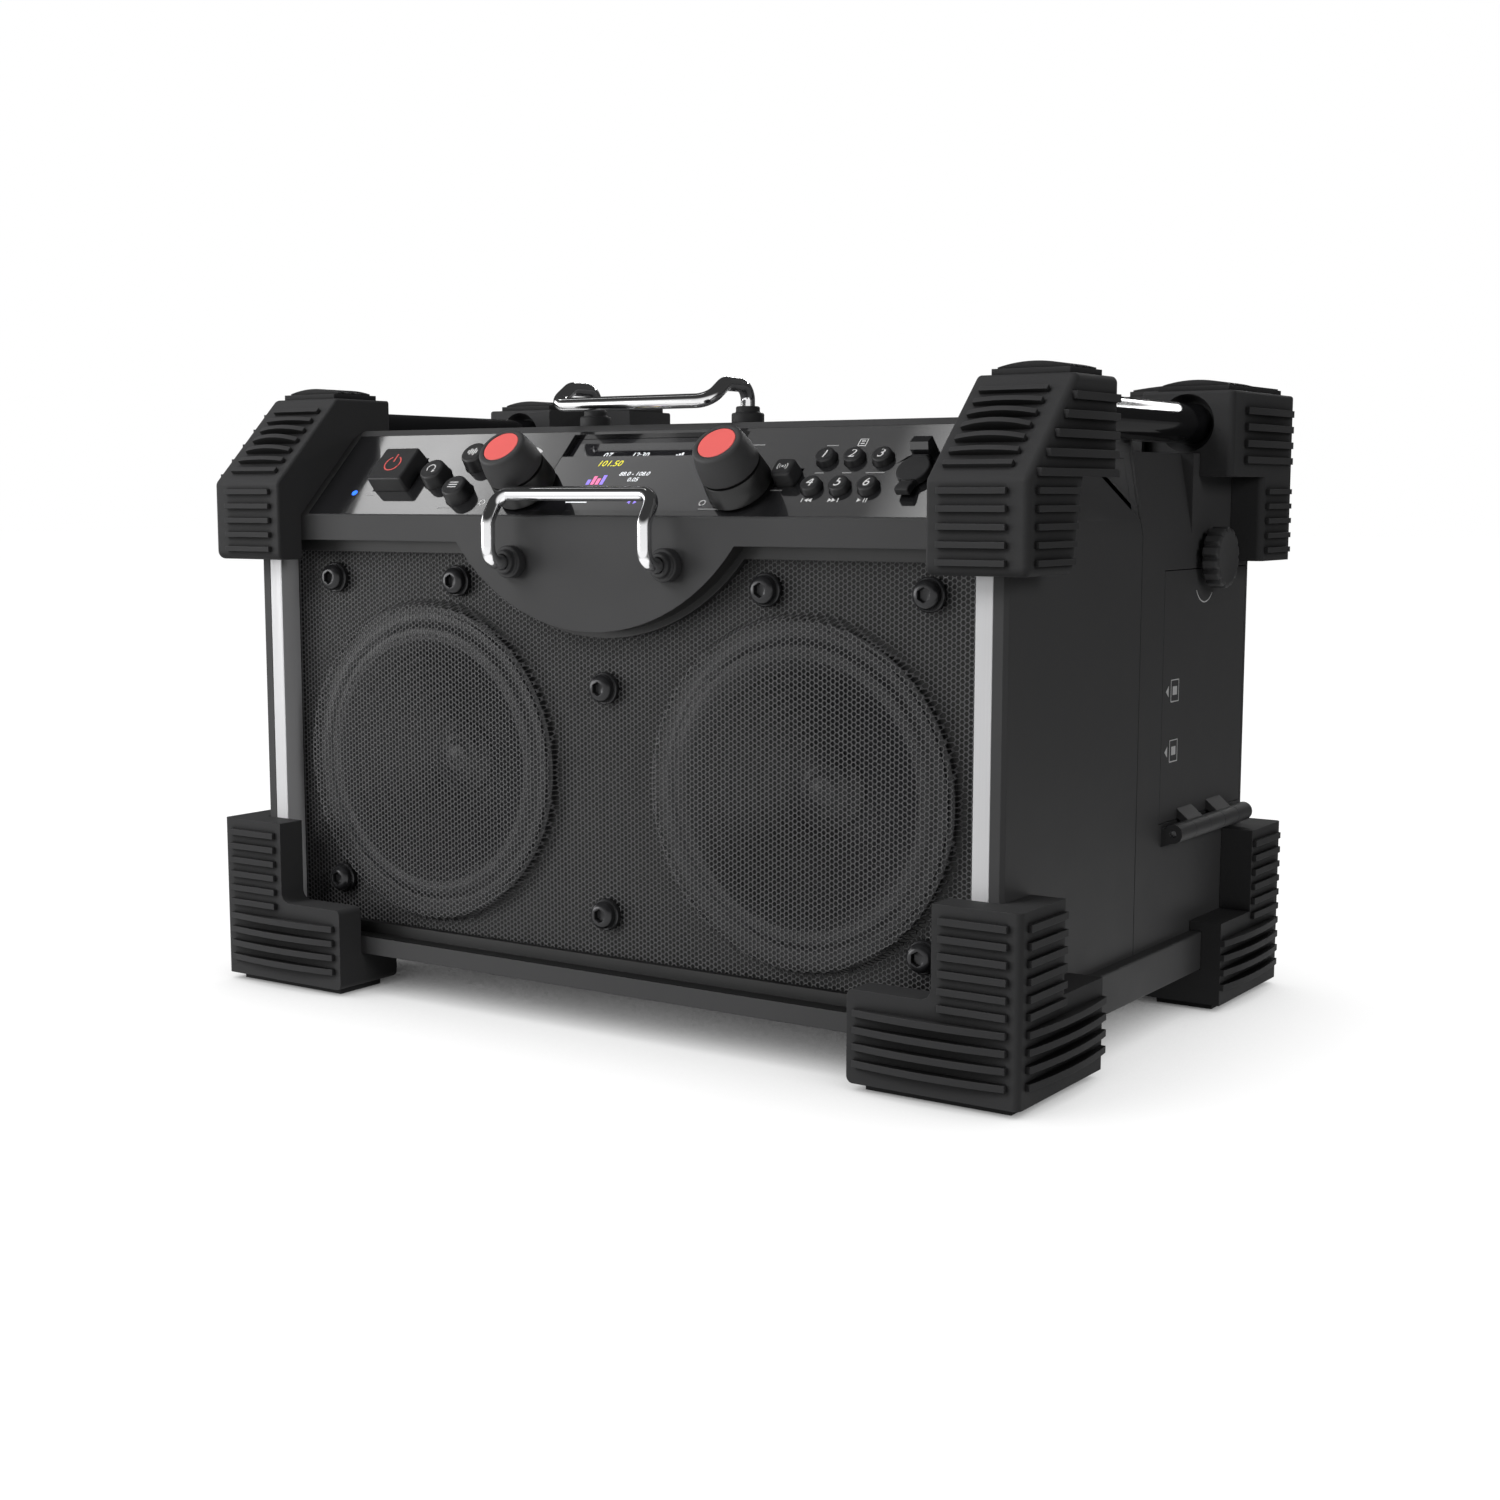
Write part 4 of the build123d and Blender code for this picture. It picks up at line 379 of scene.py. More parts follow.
def lit(name, colour, strength):
    """A glowing mark of a display or lamp, slightly uneven as pixels are."""
    tree, shader = start_material(name)
    dots = place(tree, "TexVoronoi", {"Vector": here(tree), "Scale": 4000.0})
    glow = blend(tree, dots["Distance"], colour, shade(colour, 0.75))
    feed(tree, shader, {"Emission Color": glow, "Base Color": glow, "Emission Strength": strength,
                        "Roughness": 0.4})


def printed(name, colour):
    """Screen-printed ink with thin places."""
    tree, shader = start_material(name)
    thin = noise(tree, here(tree), 2500.0, 2.0)
    feed(tree, shader, {"Base Color": blend(tree, thin, shade(colour, 0.85), colour), "Roughness": 0.5})


def cone_paper(name, centre):
    """Pressed paper of a loudspeaker cone: fibres, and rings round its axis whose height is sin(1200 r)."""
    tree, shader = start_material(name)
    where = here(tree)
    centred = place(tree, "Mapping", {"Vector": where, "Location": (-centre.x, 0, -centre.z)})[0]
    flat = place(tree, "VectorMath", {0: centred, 1: (1, 0, 1)}, operation="MULTIPLY")[0]
    radius = place(tree, "VectorMath", {0: flat}, operation="LENGTH")["Value"]
    rings = reckon(tree, "SINE", reckon(tree, "MULTIPLY", radius, 1200.0))
    fibre = noise(tree, where, 900.0, 4.0)
    bump = place(tree, "Bump", {"Strength": 0.35, "Distance": 0.3 * MM,
                                "Height": reckon(tree, "ADD", rings, fibre)})
    feed(tree, shader, {"Base Color": blend(tree, fibre, (0.012, 0.012, 0.013), (0.032, 0.032, 0.034)),
                        "Normal": bump["Normal"], "Roughness": 0.32})


def circuit_board(name):
    """Green solder mask over copper tracks, with tinned pads."""
    tree, shader = start_material(name)
    where = here(tree)
    tracks = place(tree, "TexBrick", {"Vector": where, "Scale": 90.0, "Mortar Size": 0.03,
                                      "Color1": (0.01, 0.1, 0.035, 1), "Color2": (0.014, 0.14, 0.05, 1),
                                      "Mortar": (0.02, 0.2, 0.07, 1)})
    pads = place(tree, "TexVoronoi", {"Vector": where, "Scale": 260.0})
    dot = reckon(tree, "LESS_THAN", pads["Distance"], 0.16)
    feed(tree, shader, {"Base Color": blend(tree, dot, tracks["Color"], (0.6, 0.6, 0.58)), "Metallic": dot,
                        "Roughness": 0.35})


def make_materials(colours):
    """Every finish of the radio."""
    moulded_surface_group()
    edge_rub_group()
    streak_group()
    # Each moulded finish paints shade into its grooves and a highlight along its edges.
    moulded("housing_plastic", colours.housing, 0.55, 1500.0, 0.12, 0.0005, rub=0.35, specular=0.28)
    moulded("recess_black", colours.recess, 0.5, 1500.0, 0.08, 0.0003, rub=0.2)
    moulded("bumper_rubber", colours.rubber, 0.7, 1100.0, 0.16, 0.0004, rub=0.8, specular=0.2, painted_cavity_shade=0.1)
    moulded("soft_rubber", colours.keys, 0.6, 1300.0, 0.1, 0.0004, rub=0.35)
    moulded("key_plastic", colours.keys, 0.42, 1800.0, 0.06, 0.0004, rub=0.4)
    moulded("knob_rubber", shade(colours.rubber, 1.1), 0.58, 1600.0, 0.1, 0.0005, rub=0.4)
    moulded("knob_skirt", colours.recess, 0.35, 1600.0, 0.04, 0.0004, rub=0.3)
    moulded("disc_red", colours.discs, 0.5, 1600.0, 0.04, 0.0003, rub=0.0)
    moulded("grille_coat", colours.grille, 0.46, 2400.0, 0.1, 0.0001, rub=0.0)
    moulded("transformer_steel", (0.2, 0.2, 0.2), 0.5, 600.0, 0.1, 0.0004)
    gloss("panel_gloss", colours.panel, 0.22)
    gloss("display_glass", (0.012, 0.012, 0.014), 0.12)
    gloss("tube_gloss", (0.008, 0.008, 0.009), 0.1, coat=0.0)
    metal("chrome", (0.93, 0.93, 0.94), 0.035, (60.0, 60.0, 60.0), 0.004)
    metal("trim_satin", colours.trim, 0.42, (2600.0, 2600.0, 14.0), 0.12, metallic=0.3)
    metal("black_oxide", (0.03, 0.03, 0.032), 0.2, (900.0, 900.0, 900.0), 0.04, metallic=0.4)
    metal("plain_steel", (0.5, 0.5, 0.51), 0.3, (900.0, 14.0, 900.0), 0.1)
    metal("basket_paint", (0.03, 0.03, 0.031), 0.4, (500.0, 500.0, 500.0), 0.08, metallic=0.2)
    printed("print_white", colours.marks)
    printed("print_grey", shade(colours.marks, 0.45))
    printed("print_red", (0.75, 0.12, 0.11))
    lit("lit_white", (0.85, 0.87, 0.9), 0.9)
    lit("lit_yellow", (0.85, 0.78, 0.05), 0.8)
    lit("lit_violet", (0.3, 0.22, 0.8), 0.8)
    lit("lit_pink", (0.85, 0.2, 0.4), 0.7)
    lit("lit_blue", (0.03, 0.16, 0.95), 1.6)
    circuit_board("circuit_green")
    for side in SIDES:
        cone_paper(f"cone_paper_{side}", middle(f"speaker_cone_{side}"))


# ---------------------------------------------------------------- pieces

SMOOTH_ANGLE = math.radians(38)
FLAT_ANGLE = math.radians(18)
RIB_ANGLE = math.radians(25)
CAD_MERGE = 0.003 * MM
PIECE_MERGE = 0.001 * MM
PRINT_MERGE = 0.0001 * MM


def weld(source, mesh, merge, *steps):
    """Writes a source mesh into another with its doubled points merged, after further steps of bmesh."""
    work = bmesh.new()
    work.from_mesh(source)
    bmesh.ops.remove_doubles(work, verts=work.verts, dist=merge)
    for step in steps:
        step(work)
    work.to_mesh(mesh)
    work.free()
    return mesh


def add_piece(name, shape, material, body=CABINET, slot=None, replaces=(), sharp=SMOOTH_ANGLE,
              merge=PIECE_MERGE):
    """Makes a mesh from its points and faces, looking outwards, and lets it ride on a body."""
    points, faces = shape
    mesh = bpy.data.meshes.new(name)
    mesh.from_pydata(np.asarray(points).tolist(), [], [list(face) for face in faces])
    weld(mesh, mesh, merge,
         lambda work: bmesh.ops.dissolve_degenerate(work, edges=work.edges, dist=merge / 10),
         lambda work: bmesh.ops.recalc_face_normals(work, faces=work.faces))
    return finish_piece(name, mesh, material, body, slot, replaces, sharp)


def finish_piece(name, mesh, material, body, slot=None, replaces=(), sharp=SMOOTH_ANGLE):
    """Links a mesh as an object at the origin, with its finishes, body, slot and the nodes it stands for."""
    mesh.shade_smooth()
    mesh.set_sharp_from_angle(angle=sharp)
    mesh.materials.clear()
    for finish in material if isinstance(material, list) else [material]:
        mesh.materials.append(bpy.data.materials[finish])
    piece = bpy.data.objects.new(name, mesh)
    bpy.context.scene.collection.objects.link(piece)
    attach(piece, body)
    if replaces:
        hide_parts(*replaces)
    return piece


def stand_in(node, material, sharp=SMOOTH_ANGLE):
    """Stands a copy in a CAD node's place, its triangles joined and its flat faces made whole."""
    mesh = weld(NODES[node].data, bpy.data.meshes.new(f"{node}_soft"), CAD_MERGE,
                lambda work: bmesh.ops.dissolve_limit(work, angle_limit=math.radians(0.5), verts=work.verts,
                                                      edges=work.edges))
    return finish_piece(f"{node}_moulded", mesh, material, body_of(node), SLOTS[node], (node,), sharp)


def mould(node, material, sharp=SMOOTH_ANGLE):
    """A stand-in whose curves shade evenly and whose flat faces stay flat.

    Each corner gets the mean normal of those faces at its vertex that lean less than sharp from its own face.
    The mean is weighted by area, so a flat face stays flat up to its edges and the small faces of a round
    take the turn."""
    piece = stand_in(node, material, sharp)
    mesh = piece.data
    normals, area = np.empty(3 * len(mesh.polygons)), np.empty(len(mesh.polygons))
    sides, vertex = np.empty(len(mesh.polygons), int), np.empty(len(mesh.loops), int)
    mesh.polygons.foreach_get("normal", normals)
    mesh.polygons.foreach_get("area", area)
    mesh.polygons.foreach_get("loop_total", sides)
    mesh.loops.foreach_get("vertex_index", vertex)
    own = normals.reshape(-1, 3)[np.repeat(np.arange(len(area)), sides)]
    weight = np.repeat(area, sides)[:, None]
    mean = np.empty_like(own)
    order = np.argsort(vertex, kind="stable")
    for group in np.split(order, np.flatnonzero(np.diff(vertex[order])) + 1):
        near = own[group] @ own[group].T > math.cos(sharp)
        mean[group] = near @ (own[group] * weight[group])
    mesh.normals_split_custom_set((mean / np.linalg.norm(mean, axis=1, keepdims=True)).tolist())
    return piece


def soften(node, width, material, segments=2):
    """A stand-in whose edges of more than 40 degrees get a round of a width."""
    bevel = stand_in(node, material).modifiers.new("Rounded edges", "BEVEL")
    bevel.width = width
    bevel.segments = segments
    bevel.limit_method = "ANGLE"
    bevel.angle_limit = math.radians(40)
    bevel.use_clamp_overlap = False
    bevel.harden_normals = True
    bevel.miter_outer = "MITER_ARC"


def paint(material, *nodes):
    """Gives CAD nodes a finish."""
    for node in nodes:
        mesh = NODES[node].data
        mesh.materials.clear()
        mesh.materials.append(bpy.data.materials[material])


# ---------------------------------------------------------------- shapes: arrays of points and of faces

def ring_quads(rings, around):
    """Faces between consecutive closed rings of a grid, as rows of four vertex numbers."""
    i = np.arange(rings - 1)[:, None] * around
    j = np.arange(around)[None, :]
    k = (j + 1) % around
    return np.stack([i + j, i + k, i + around + k, i + around + j], axis=-1).reshape(-1, 4)


def angles(around):
    """Angles of a full turn in equal steps."""
    return np.arange(around) * 2 * math.pi / around


def on_circle(a):
    """Rows (cos a, sin a) for some angles."""
    return np.column_stack([np.cos(a), np.sin(a)])


def carried(points, matrix):
    """Points in metres carried to a place."""
    return points @ np.array(matrix.to_3x3()).T + np.array(matrix.translation)


def turned(profile, centre, axis, around):
    """A turned piece: a profile of (radius, height) in millimetres carried round an axis.

    A point is centre + height * axis + radius * (cos a * u + sin a * v), with u and v square to the axis."""
    axis = np.array(axis, float)
    axis = axis / np.linalg.norm(axis)
    u = np.array(RIGHT) if abs(axis[0]) < 0.9 else np.array(BACK)
    v = np.cross(axis, u)
    a = angles(around)
    radius, height = np.array(profile, float).T * MM
    ring = np.cos(a)[:, None] * u + np.sin(a)[:, None] * v
    points = np.array(centre) + height[:, None, None] * axis + radius[:, None, None] * ring[None]
    return points.reshape(-1, 3), ring_quads(len(radius), around)


def rounded_path(points, radius, steps):
    """A polyline with each inner corner replaced by an arc of the given radius, tangent to both runs."""
    points = [np.array(p, float) for p in points]
    path = [points[0]]
    for before, corner, after in zip(points, points[1:], points[2:]):
        a = (before - corner) / np.linalg.norm(before - corner)
        b = (after - corner) / np.linalg.norm(after - corner)
        half = math.acos(np.clip(a @ b, -1, 1)) / 2
        bisector = (a + b) / np.linalg.norm(a + b)
        centre = corner + bisector * radius / math.sin(half)
        start = corner + a * radius / math.tan(half) - centre
        across = -bisector * radius
        side = start - across * (start @ across) / radius ** 2
        side = side / np.linalg.norm(side) * radius
        turn = np.linspace(math.pi / 2 - half, half - math.pi / 2, steps)
        path.extend(centre + across * math.cos(t) + side * math.sin(t) for t in turn)
    path.append(points[-1])
    return np.array(path)


def swept(path, radius, around):
    """A round rod along a path, its section turned as little as possible from point to point.

    Each ring is path[i] + radius * (cos a * u[i] + sin a * v[i]); a centre point closes each end."""
    tangent = np.gradient(path, axis=0)
    tangent = tangent / np.linalg.norm(tangent, axis=1)[:, None]
    u = np.zeros_like(path)
    u[0] = RIGHT if abs(tangent[0][0]) < 0.9 else UP
    for i in range(len(path)):
        last = u[i - 1] if i else u[0]
        u[i] = last - tangent[i] * (last @ tangent[i])
        u[i] /= np.linalg.norm(u[i])
    v = np.cross(tangent, u)
    a = angles(around)
    cos, sin = on_circle(a).T[:, None, :, None]
    rings = path[:, None] + radius * (cos * u[:, None] + sin * v[:, None])
    ends = [np.repeat(path[:1], around, 0)[None], rings, np.repeat(path[-1:], around, 0)[None]]
    points = np.concatenate(ends)
    return points.reshape(-1, 3), ring_quads(len(points), around)


def stacked(outline, levels, matrix):
    """A cushion-like solid: loops of an outline drawn in by (inset, height) levels in millimetres.

    outline(inset) gives the closed loop as an array of (x, y); both ends are closed by the loops' middle."""
    loops = [outline(inset) for inset, _ in levels]
    heights = [height for _, height in levels]
    centre = np.tile(loops[0].mean(0), (len(loops[0]), 1))
    stack = [np.column_stack([loop, np.full(len(loop), height)])
             for loop, height in zip([centre, *loops, centre], [heights[0], *heights, heights[-1]])]
    return carried(np.concatenate(stack) * MM, matrix), ring_quads(len(stack), len(centre))


def rounded_box(width, height, corner, steps=8):
    """Outline function of a box with round corners, about the origin, drawn in by an inset."""
    def outline(inset):
        half = np.array((width / 2 - inset, height / 2 - inset))
        r = max(0.05, min(corner, corner - 0.4 * inset))
        r = min(r, half.min() - 0.01)
        quarter = np.linspace(0, math.pi / 2, steps)
        turns = (np.arange(4)[:, None] * math.pi / 2 + quarter[None]).ravel()
        signs = np.repeat(np.array([(1, 1), (-1, 1), (-1, -1), (1, -1)]), steps, axis=0)
        return signs * (half - r) + r * on_circle(turns)
    return outline


def circle(radius, around=48):
    """Outline function of a circle, drawn in by an inset."""
    return lambda inset: (radius - inset) * on_circle(angles(around))


# ---------------------------------------------------------------- printed and lit marks, loops in millimetres

def prism(loop, height):
    """A thin plate: a closed loop of (x, y) between zero and a height."""
    loop = np.asarray(loop, float)
    count = len(loop)
    points = np.concatenate([np.column_stack([loop, np.full(count, h)]) for h in (0.0, height)])
    sides = ring_quads(2, count).tolist()
    return points, [list(range(count))[::-1], list(range(count, 2 * count)), *sides]


def arc(centre, radius, start, end, steps=24):
    """Points of an arc, its angles in degrees."""
    return np.array(centre) + radius * on_circle(np.radians(np.linspace(start, end, steps)))


def strip(line, width):
    """Quads of (x, y) along an open line, each its own small loop, so that a bent band stays well shaped."""
    line = np.asarray(line, float)
    along = np.gradient(line, axis=0)
    along = along / np.linalg.norm(along, axis=1)[:, None]
    side = np.column_stack([-along[:, 1], along[:, 0]]) * width / 2
    upper, lower = line + side, line - side
    return [np.array([upper[i], upper[i + 1], lower[i + 1], lower[i]]) for i in range(len(line) - 1)]


def box_loop(x0, y0, x1, y1):
    """Loop of a rectangle from one corner to the other."""
    return np.array([(x0, y0), (x1, y0), (x1, y1), (x0, y1)])


def bar(x, y, width=0.44, height=2.3):
    """Loop of a rectangle about its middle: a small upright bar, unless a size is given."""
    return box_loop(x - width / 2, y - height / 2, x + width / 2, y + height / 2)


def dash(x, y, width):
    """Loop of a short flat dash."""
    return bar(x, y, width, 0.56)


def pointer(x, y, way):
    """Loop of a small triangle that points left (-1) or right (1)."""
    return np.array([(x - 0.9 * way, y - 1.15), (x + 0.9 * way, y), (x - 0.9 * way, y + 1.15)])


def marks(name, loops, matrix, material, body=CABINET, height=None):
    """One piece from several flat loops, standing the print's height or a given one off a surface."""
    thick = (height or bpy.context.scene.radio_sizes.print_height) / MM
    points, faces, start = [], [], 0
    for loop in loops:
        new_points, new_faces = prism(loop, thick)
        faces.extend([[start + i for i in face] for face in new_faces])
        points.append(new_points)
        start += len(new_points)
    placed = carried(np.concatenate(points) * MM, matrix)
    return add_piece(name, (placed, faces), material, body, merge=PRINT_MERGE)


def numerals(name, text, size, matrix, material, body=CABINET):
    """Plain sloping numerals as a thin raised mesh, centred on the matrix's origin; size in millimetres."""
    curve = bpy.data.curves.new(name, "FONT")
    curve.body = text
    curve.size = size
    curve.shear = 0.2
    curve.align_x = curve.align_y = "CENTER"
    curve.resolution_u = 3
    curve.extrude = bpy.context.scene.radio_sizes.print_height / MM / 2
    source = bpy.data.objects.new(name, curve)
    bpy.context.scene.collection.objects.link(source)
    bpy.context.view_layer.update()
    mesh = bpy.data.meshes.new_from_object(source.evaluated_get(bpy.context.evaluated_depsgraph_get()))
    bpy.data.objects.remove(source)
    mesh.transform(matrix @ Matrix.Scale(MM, 4) @ Matrix.Translation((0, 0, curve.extrude)))
    bpy.data.curves.remove(curve)
    weld(mesh, mesh, PRINT_MERGE)
    mesh.name = name
    return finish_piece(name, mesh, material, body)


# ---------------------------------------------------------------- bumpers, housing, rails, trims

class RADIO_OT_bumpers(bpy.types.Operator):
    """Eight ribbed rubber corner bumpers with moulded edges"""

    bl_idname = "radio.bumpers"
    bl_label = "Corner Bumpers"

    def execute(self, context):
        for level in ("bottom", "top"):
            for end in ("front", "rear"):
                for side in SIDES:
                    mould(f"{level}_bumper_{end}_{side}", "bumper_rubber", RIB_ANGLE)
        return {"FINISHED"}


class RADIO_OT_housing(bpy.types.Operator):
    """Front and rear housing, door, side rails and corner trims"""

    bl_idname = "radio.housing"
    bl_label = "Housing"

    def execute(self, context):
        edge = context.scene.radio_sizes.plastic_edge
        front = mould("front_housing", ["housing_plastic", "recess_black"], FLAT_ANGLE)
        self.darken_recess(front.data)
        mould("rear_housing", "housing_plastic", FLAT_ANGLE)
        mould("compartment_door", "housing_plastic", FLAT_ANGLE)
        for side in SIDES:
            soften(f"side_rail_{side}", 2 * edge, "housing_plastic")
            soften(f"corner_trim_{side}", edge, "trim_satin")
        self.close_pockets()
        return {"FINISHED"}

    def close_pockets(self):
        """Closes the step at each hand pocket's seam: the front shell slopes and the rear one is upright.

        The plate fills the triangle between the slope and the upright wall, just behind the seam. Its corners
        are in millimetres from the flank and the roof of the housing."""
        step = [(-2.1, -36.6), (-7.0, -7.8), (-34.5, -7.8), (-4.8, -37.5)]
        for side, outward in zip(SIDES, (-RIGHT, RIGHT)):
            corner = Vector((outward.x * FLANK, SEAM + 0.3 * MM, HOUSING_HIGH.z))
            marks(f"pocket_step_{side}", [step], axes_at(corner, outward, UP, BACK), "housing_plastic",
                  height=1.5 * MM)

    def darken_recess(self, mesh):
        """Gives the step round the grille and the baffle, set back from the face, the darker recess colour.
        """
        centre = np.zeros(len(mesh.polygons) * 3)
        mesh.polygons.foreach_get("center", centre)
        x, y, z = centre.reshape(-1, 3).T
        inside = (y > HOUSING_LOW.y + 0.5 * MM) & (y < GRILLE_HIGH.y + 1 * MM)
        inside &= (np.abs(x) < GRILLE_HIGH.x + 0.2 * MM) & (z < PANEL_ORIGIN.z - 10 * MM)
        mesh.polygons.foreach_set("material_index", inside.astype(np.int32))


# ---------------------------------------------------------------- perforated grille

class RADIO_OT_grille(bpy.types.Operator):
    """Perforated and pressed sheet over the loudspeakers, in four pieces, and its screws"""

    bl_idname = "radio.grille"
    bl_label = "Speaker Grille"

    def execute(self, context):
        self.sizes = context.scene.radio_sizes
        split = 106 * MM
        x, z = self.lattice()
        for label, low, high in (("left_outer", -math.inf, -split), ("left_inner", -split, 0.0),
                                 ("right_inner", 0.0, split), ("right_outer", split, math.inf)):
            chosen = (x >= low) & (x < high)
            self.sheet(f"grille_{label}", x[chosen], z[chosen])
        for number, centre in enumerate(self.screws(), 1):
            self.screw(f"grille_screw_{number}", centre)
        return {"FINISHED"}

    def lattice(self):
        """Centres of the holes: columns half a pitch out of step, kept where the sheet's outline has them."""
        pitch = self.sizes.hole_pitch
        column = pitch * math.sqrt(3) / 2
        columns = int((GRILLE_HIGH.x + column) // column)
        rows = int((GRILLE_HIGH.z - GRILLE_LOW.z) // pitch) + 2
        i, j = np.meshgrid(np.arange(-columns, columns + 1), np.arange(rows), indexing="ij")
        x = (i * column).ravel()
        z = (GRILLE_LOW.z + j * pitch + (i % 2) * pitch / 2).ravel()
        badge_radius, margin = 98 * MM, 0.6 * MM
        badge_middle = PANEL_ORIGIN.z - 51.6 * MM + badge_radius
        keep = (np.abs(x) <= GRILLE_HIGH.x + column / 2) & (z < GRILLE_HIGH.z) & (z > GRILLE_LOW.z)
        keep &= np.hypot(x, z - badge_middle) > badge_radius + margin
        return x[keep], z[keep]

    def depth(self, x, z):
        """Depth of the sheet's face: flat, with two round fields pressed forward by a smooth step each.

        The step is rise * t^2 * (3 - 2 t); t runs from 0 at the field's radius to 1 a step's width inside."""
        field, step = 78.6 * MM, 2.6 * MM
        y = np.full(x.shape, SHEET_FACE)
        for side in SIDES:
            centre = middle(f"speaker_cone_{side}")
            t = np.clip((field - np.hypot(x - centre.x, z - centre.z)) / step, 0, 1)
            y = y - (SHEET_FACE - GRILLE_LOW.y) * t * t * (3 - 2 * t)
        return y

    def sheet(self, name, x, z):
        """Six quads round each six-sided hole, whose outer corners the next cells share, then a solid sheet.

        A corner is centre + r * (cos a, sin a) with a in steps of 60 degrees; r is the cell's or hole's."""
        corner = on_circle(np.arange(6) * math.pi / 3)
        outer = self.sizes.hole_pitch / math.sqrt(3)
        inner = self.sizes.hole_width / math.sqrt(3)
        centre = np.column_stack([x, z])
        limit = GRILLE_HIGH.x
        reach = np.where(np.abs(x) + outer <= limit, inner, 0.0)
        far = centre[:, None] + outer * corner[None]
        near = centre[:, None] + reach[:, None, None] * corner[None]
        flat = np.concatenate([far, near], axis=1)
        flat[..., 0] = np.clip(flat[..., 0], -limit, limit)
        x, z = flat[..., 0], flat[..., 1]
        points = np.stack([x, self.depth(x, z), z], axis=-1).reshape(-1, 3)
        start = np.arange(len(centre))[:, None] * 12
        k = np.arange(6)
        m = (k + 1) % 6
        quads = np.stack([start + k, start + m, start + 6 + m, start + 6 + k], axis=-1).reshape(-1, 4)
        replaced = ("speaker_grille",) if name.endswith("left_outer") else ()
        piece = add_piece(name, (points, quads), "grille_coat", slot=SLOTS["speaker_grille"],
                          replaces=replaced, sharp=math.radians(50), merge=0.02 * MM)
        if sum(face.normal.y for face in piece.data.polygons) > 0:
            piece.data.flip_normals()
        solid = piece.modifiers.new("Sheet", "SOLIDIFY")
        solid.thickness = self.sizes.sheet
        solid.offset = -1

    def screws(self):
        """Centres of the screw heads, from the separate heads of the CAD node, on the sheet's face."""
        mesh = NODES["grille_screws"].data
        points = np.zeros(len(mesh.vertices) * 3)
        mesh.vertices.foreach_get("co", points)
        points = points.reshape(-1, 3)
        tips = points[points[:, 1] < points[:, 1].min() + 0.01 * MM]
        head = 12 * MM
        found = []
        for tip in tips:
            if not any(np.hypot(*(tip - other)[[0, 2]]) < head for other in found):
                near = np.hypot(tips[:, 0] - tip[0], tips[:, 2] - tip[2]) < head
                found.append((tips[near].min(0) + tips[near].max(0)) / 2)
        return [(spot[0], SHEET_FACE, spot[2]) for spot in found]

    def screw(self, name, centre):
        """Button head on a round collar: a low dome turned round the axis, with a six-sided socket in it.

        The dome's height at radius r is wall + crown * sqrt(1 - ((r - flat) / (head - flat))^2)."""
        collar, collar_rise, head, socket, depth, crown = 7.45, 2.6, 6.35, 2.75, 2.6, 2.6
        rise = (SHEET_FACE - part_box("grille_screws")[0].y) / MM
        around = 48
        a = angles(around)
        hexagon = socket / np.cos((a + math.pi / 6) % (math.pi / 3) - math.pi / 6)
        flat = socket + 0.6
        t = np.sin(np.linspace(math.pi / 2, 0, 9))
        rings = [(0.0, -0.5), (collar, -0.5), (collar, collar_rise - 0.5), (collar - 0.5, collar_rise),
                 (head + 0.1, collar_rise - 0.1), (head, collar_rise)]
        rings += list(zip(flat + (head - flat) * t, rise - crown + crown * np.sqrt(1 - t ** 2)))
        rings += [(hexagon * 1.06, rise), (hexagon, rise - 0.3), (hexagon, rise - depth),
                  (0.0, rise - depth - 0.6)]
        points = [np.column_stack([centre[0] + r * MM * np.cos(a), np.full(around, centre[1] - h * MM),
                                   centre[2] + r * MM * np.sin(a)]) for r, h in rings]
        replaced = ("grille_screws",) if name.endswith("_1") else ()
        add_piece(name, (np.concatenate(points), ring_quads(len(rings), around)), "black_oxide",
                  slot=SLOTS["grille_screws"], replaces=replaced, sharp=math.radians(30))


# ---------------------------------------------------------------- guards, tubes, grommets

ROD_RADIUS = 3.25 * MM
ROD_BEND = 7 * MM


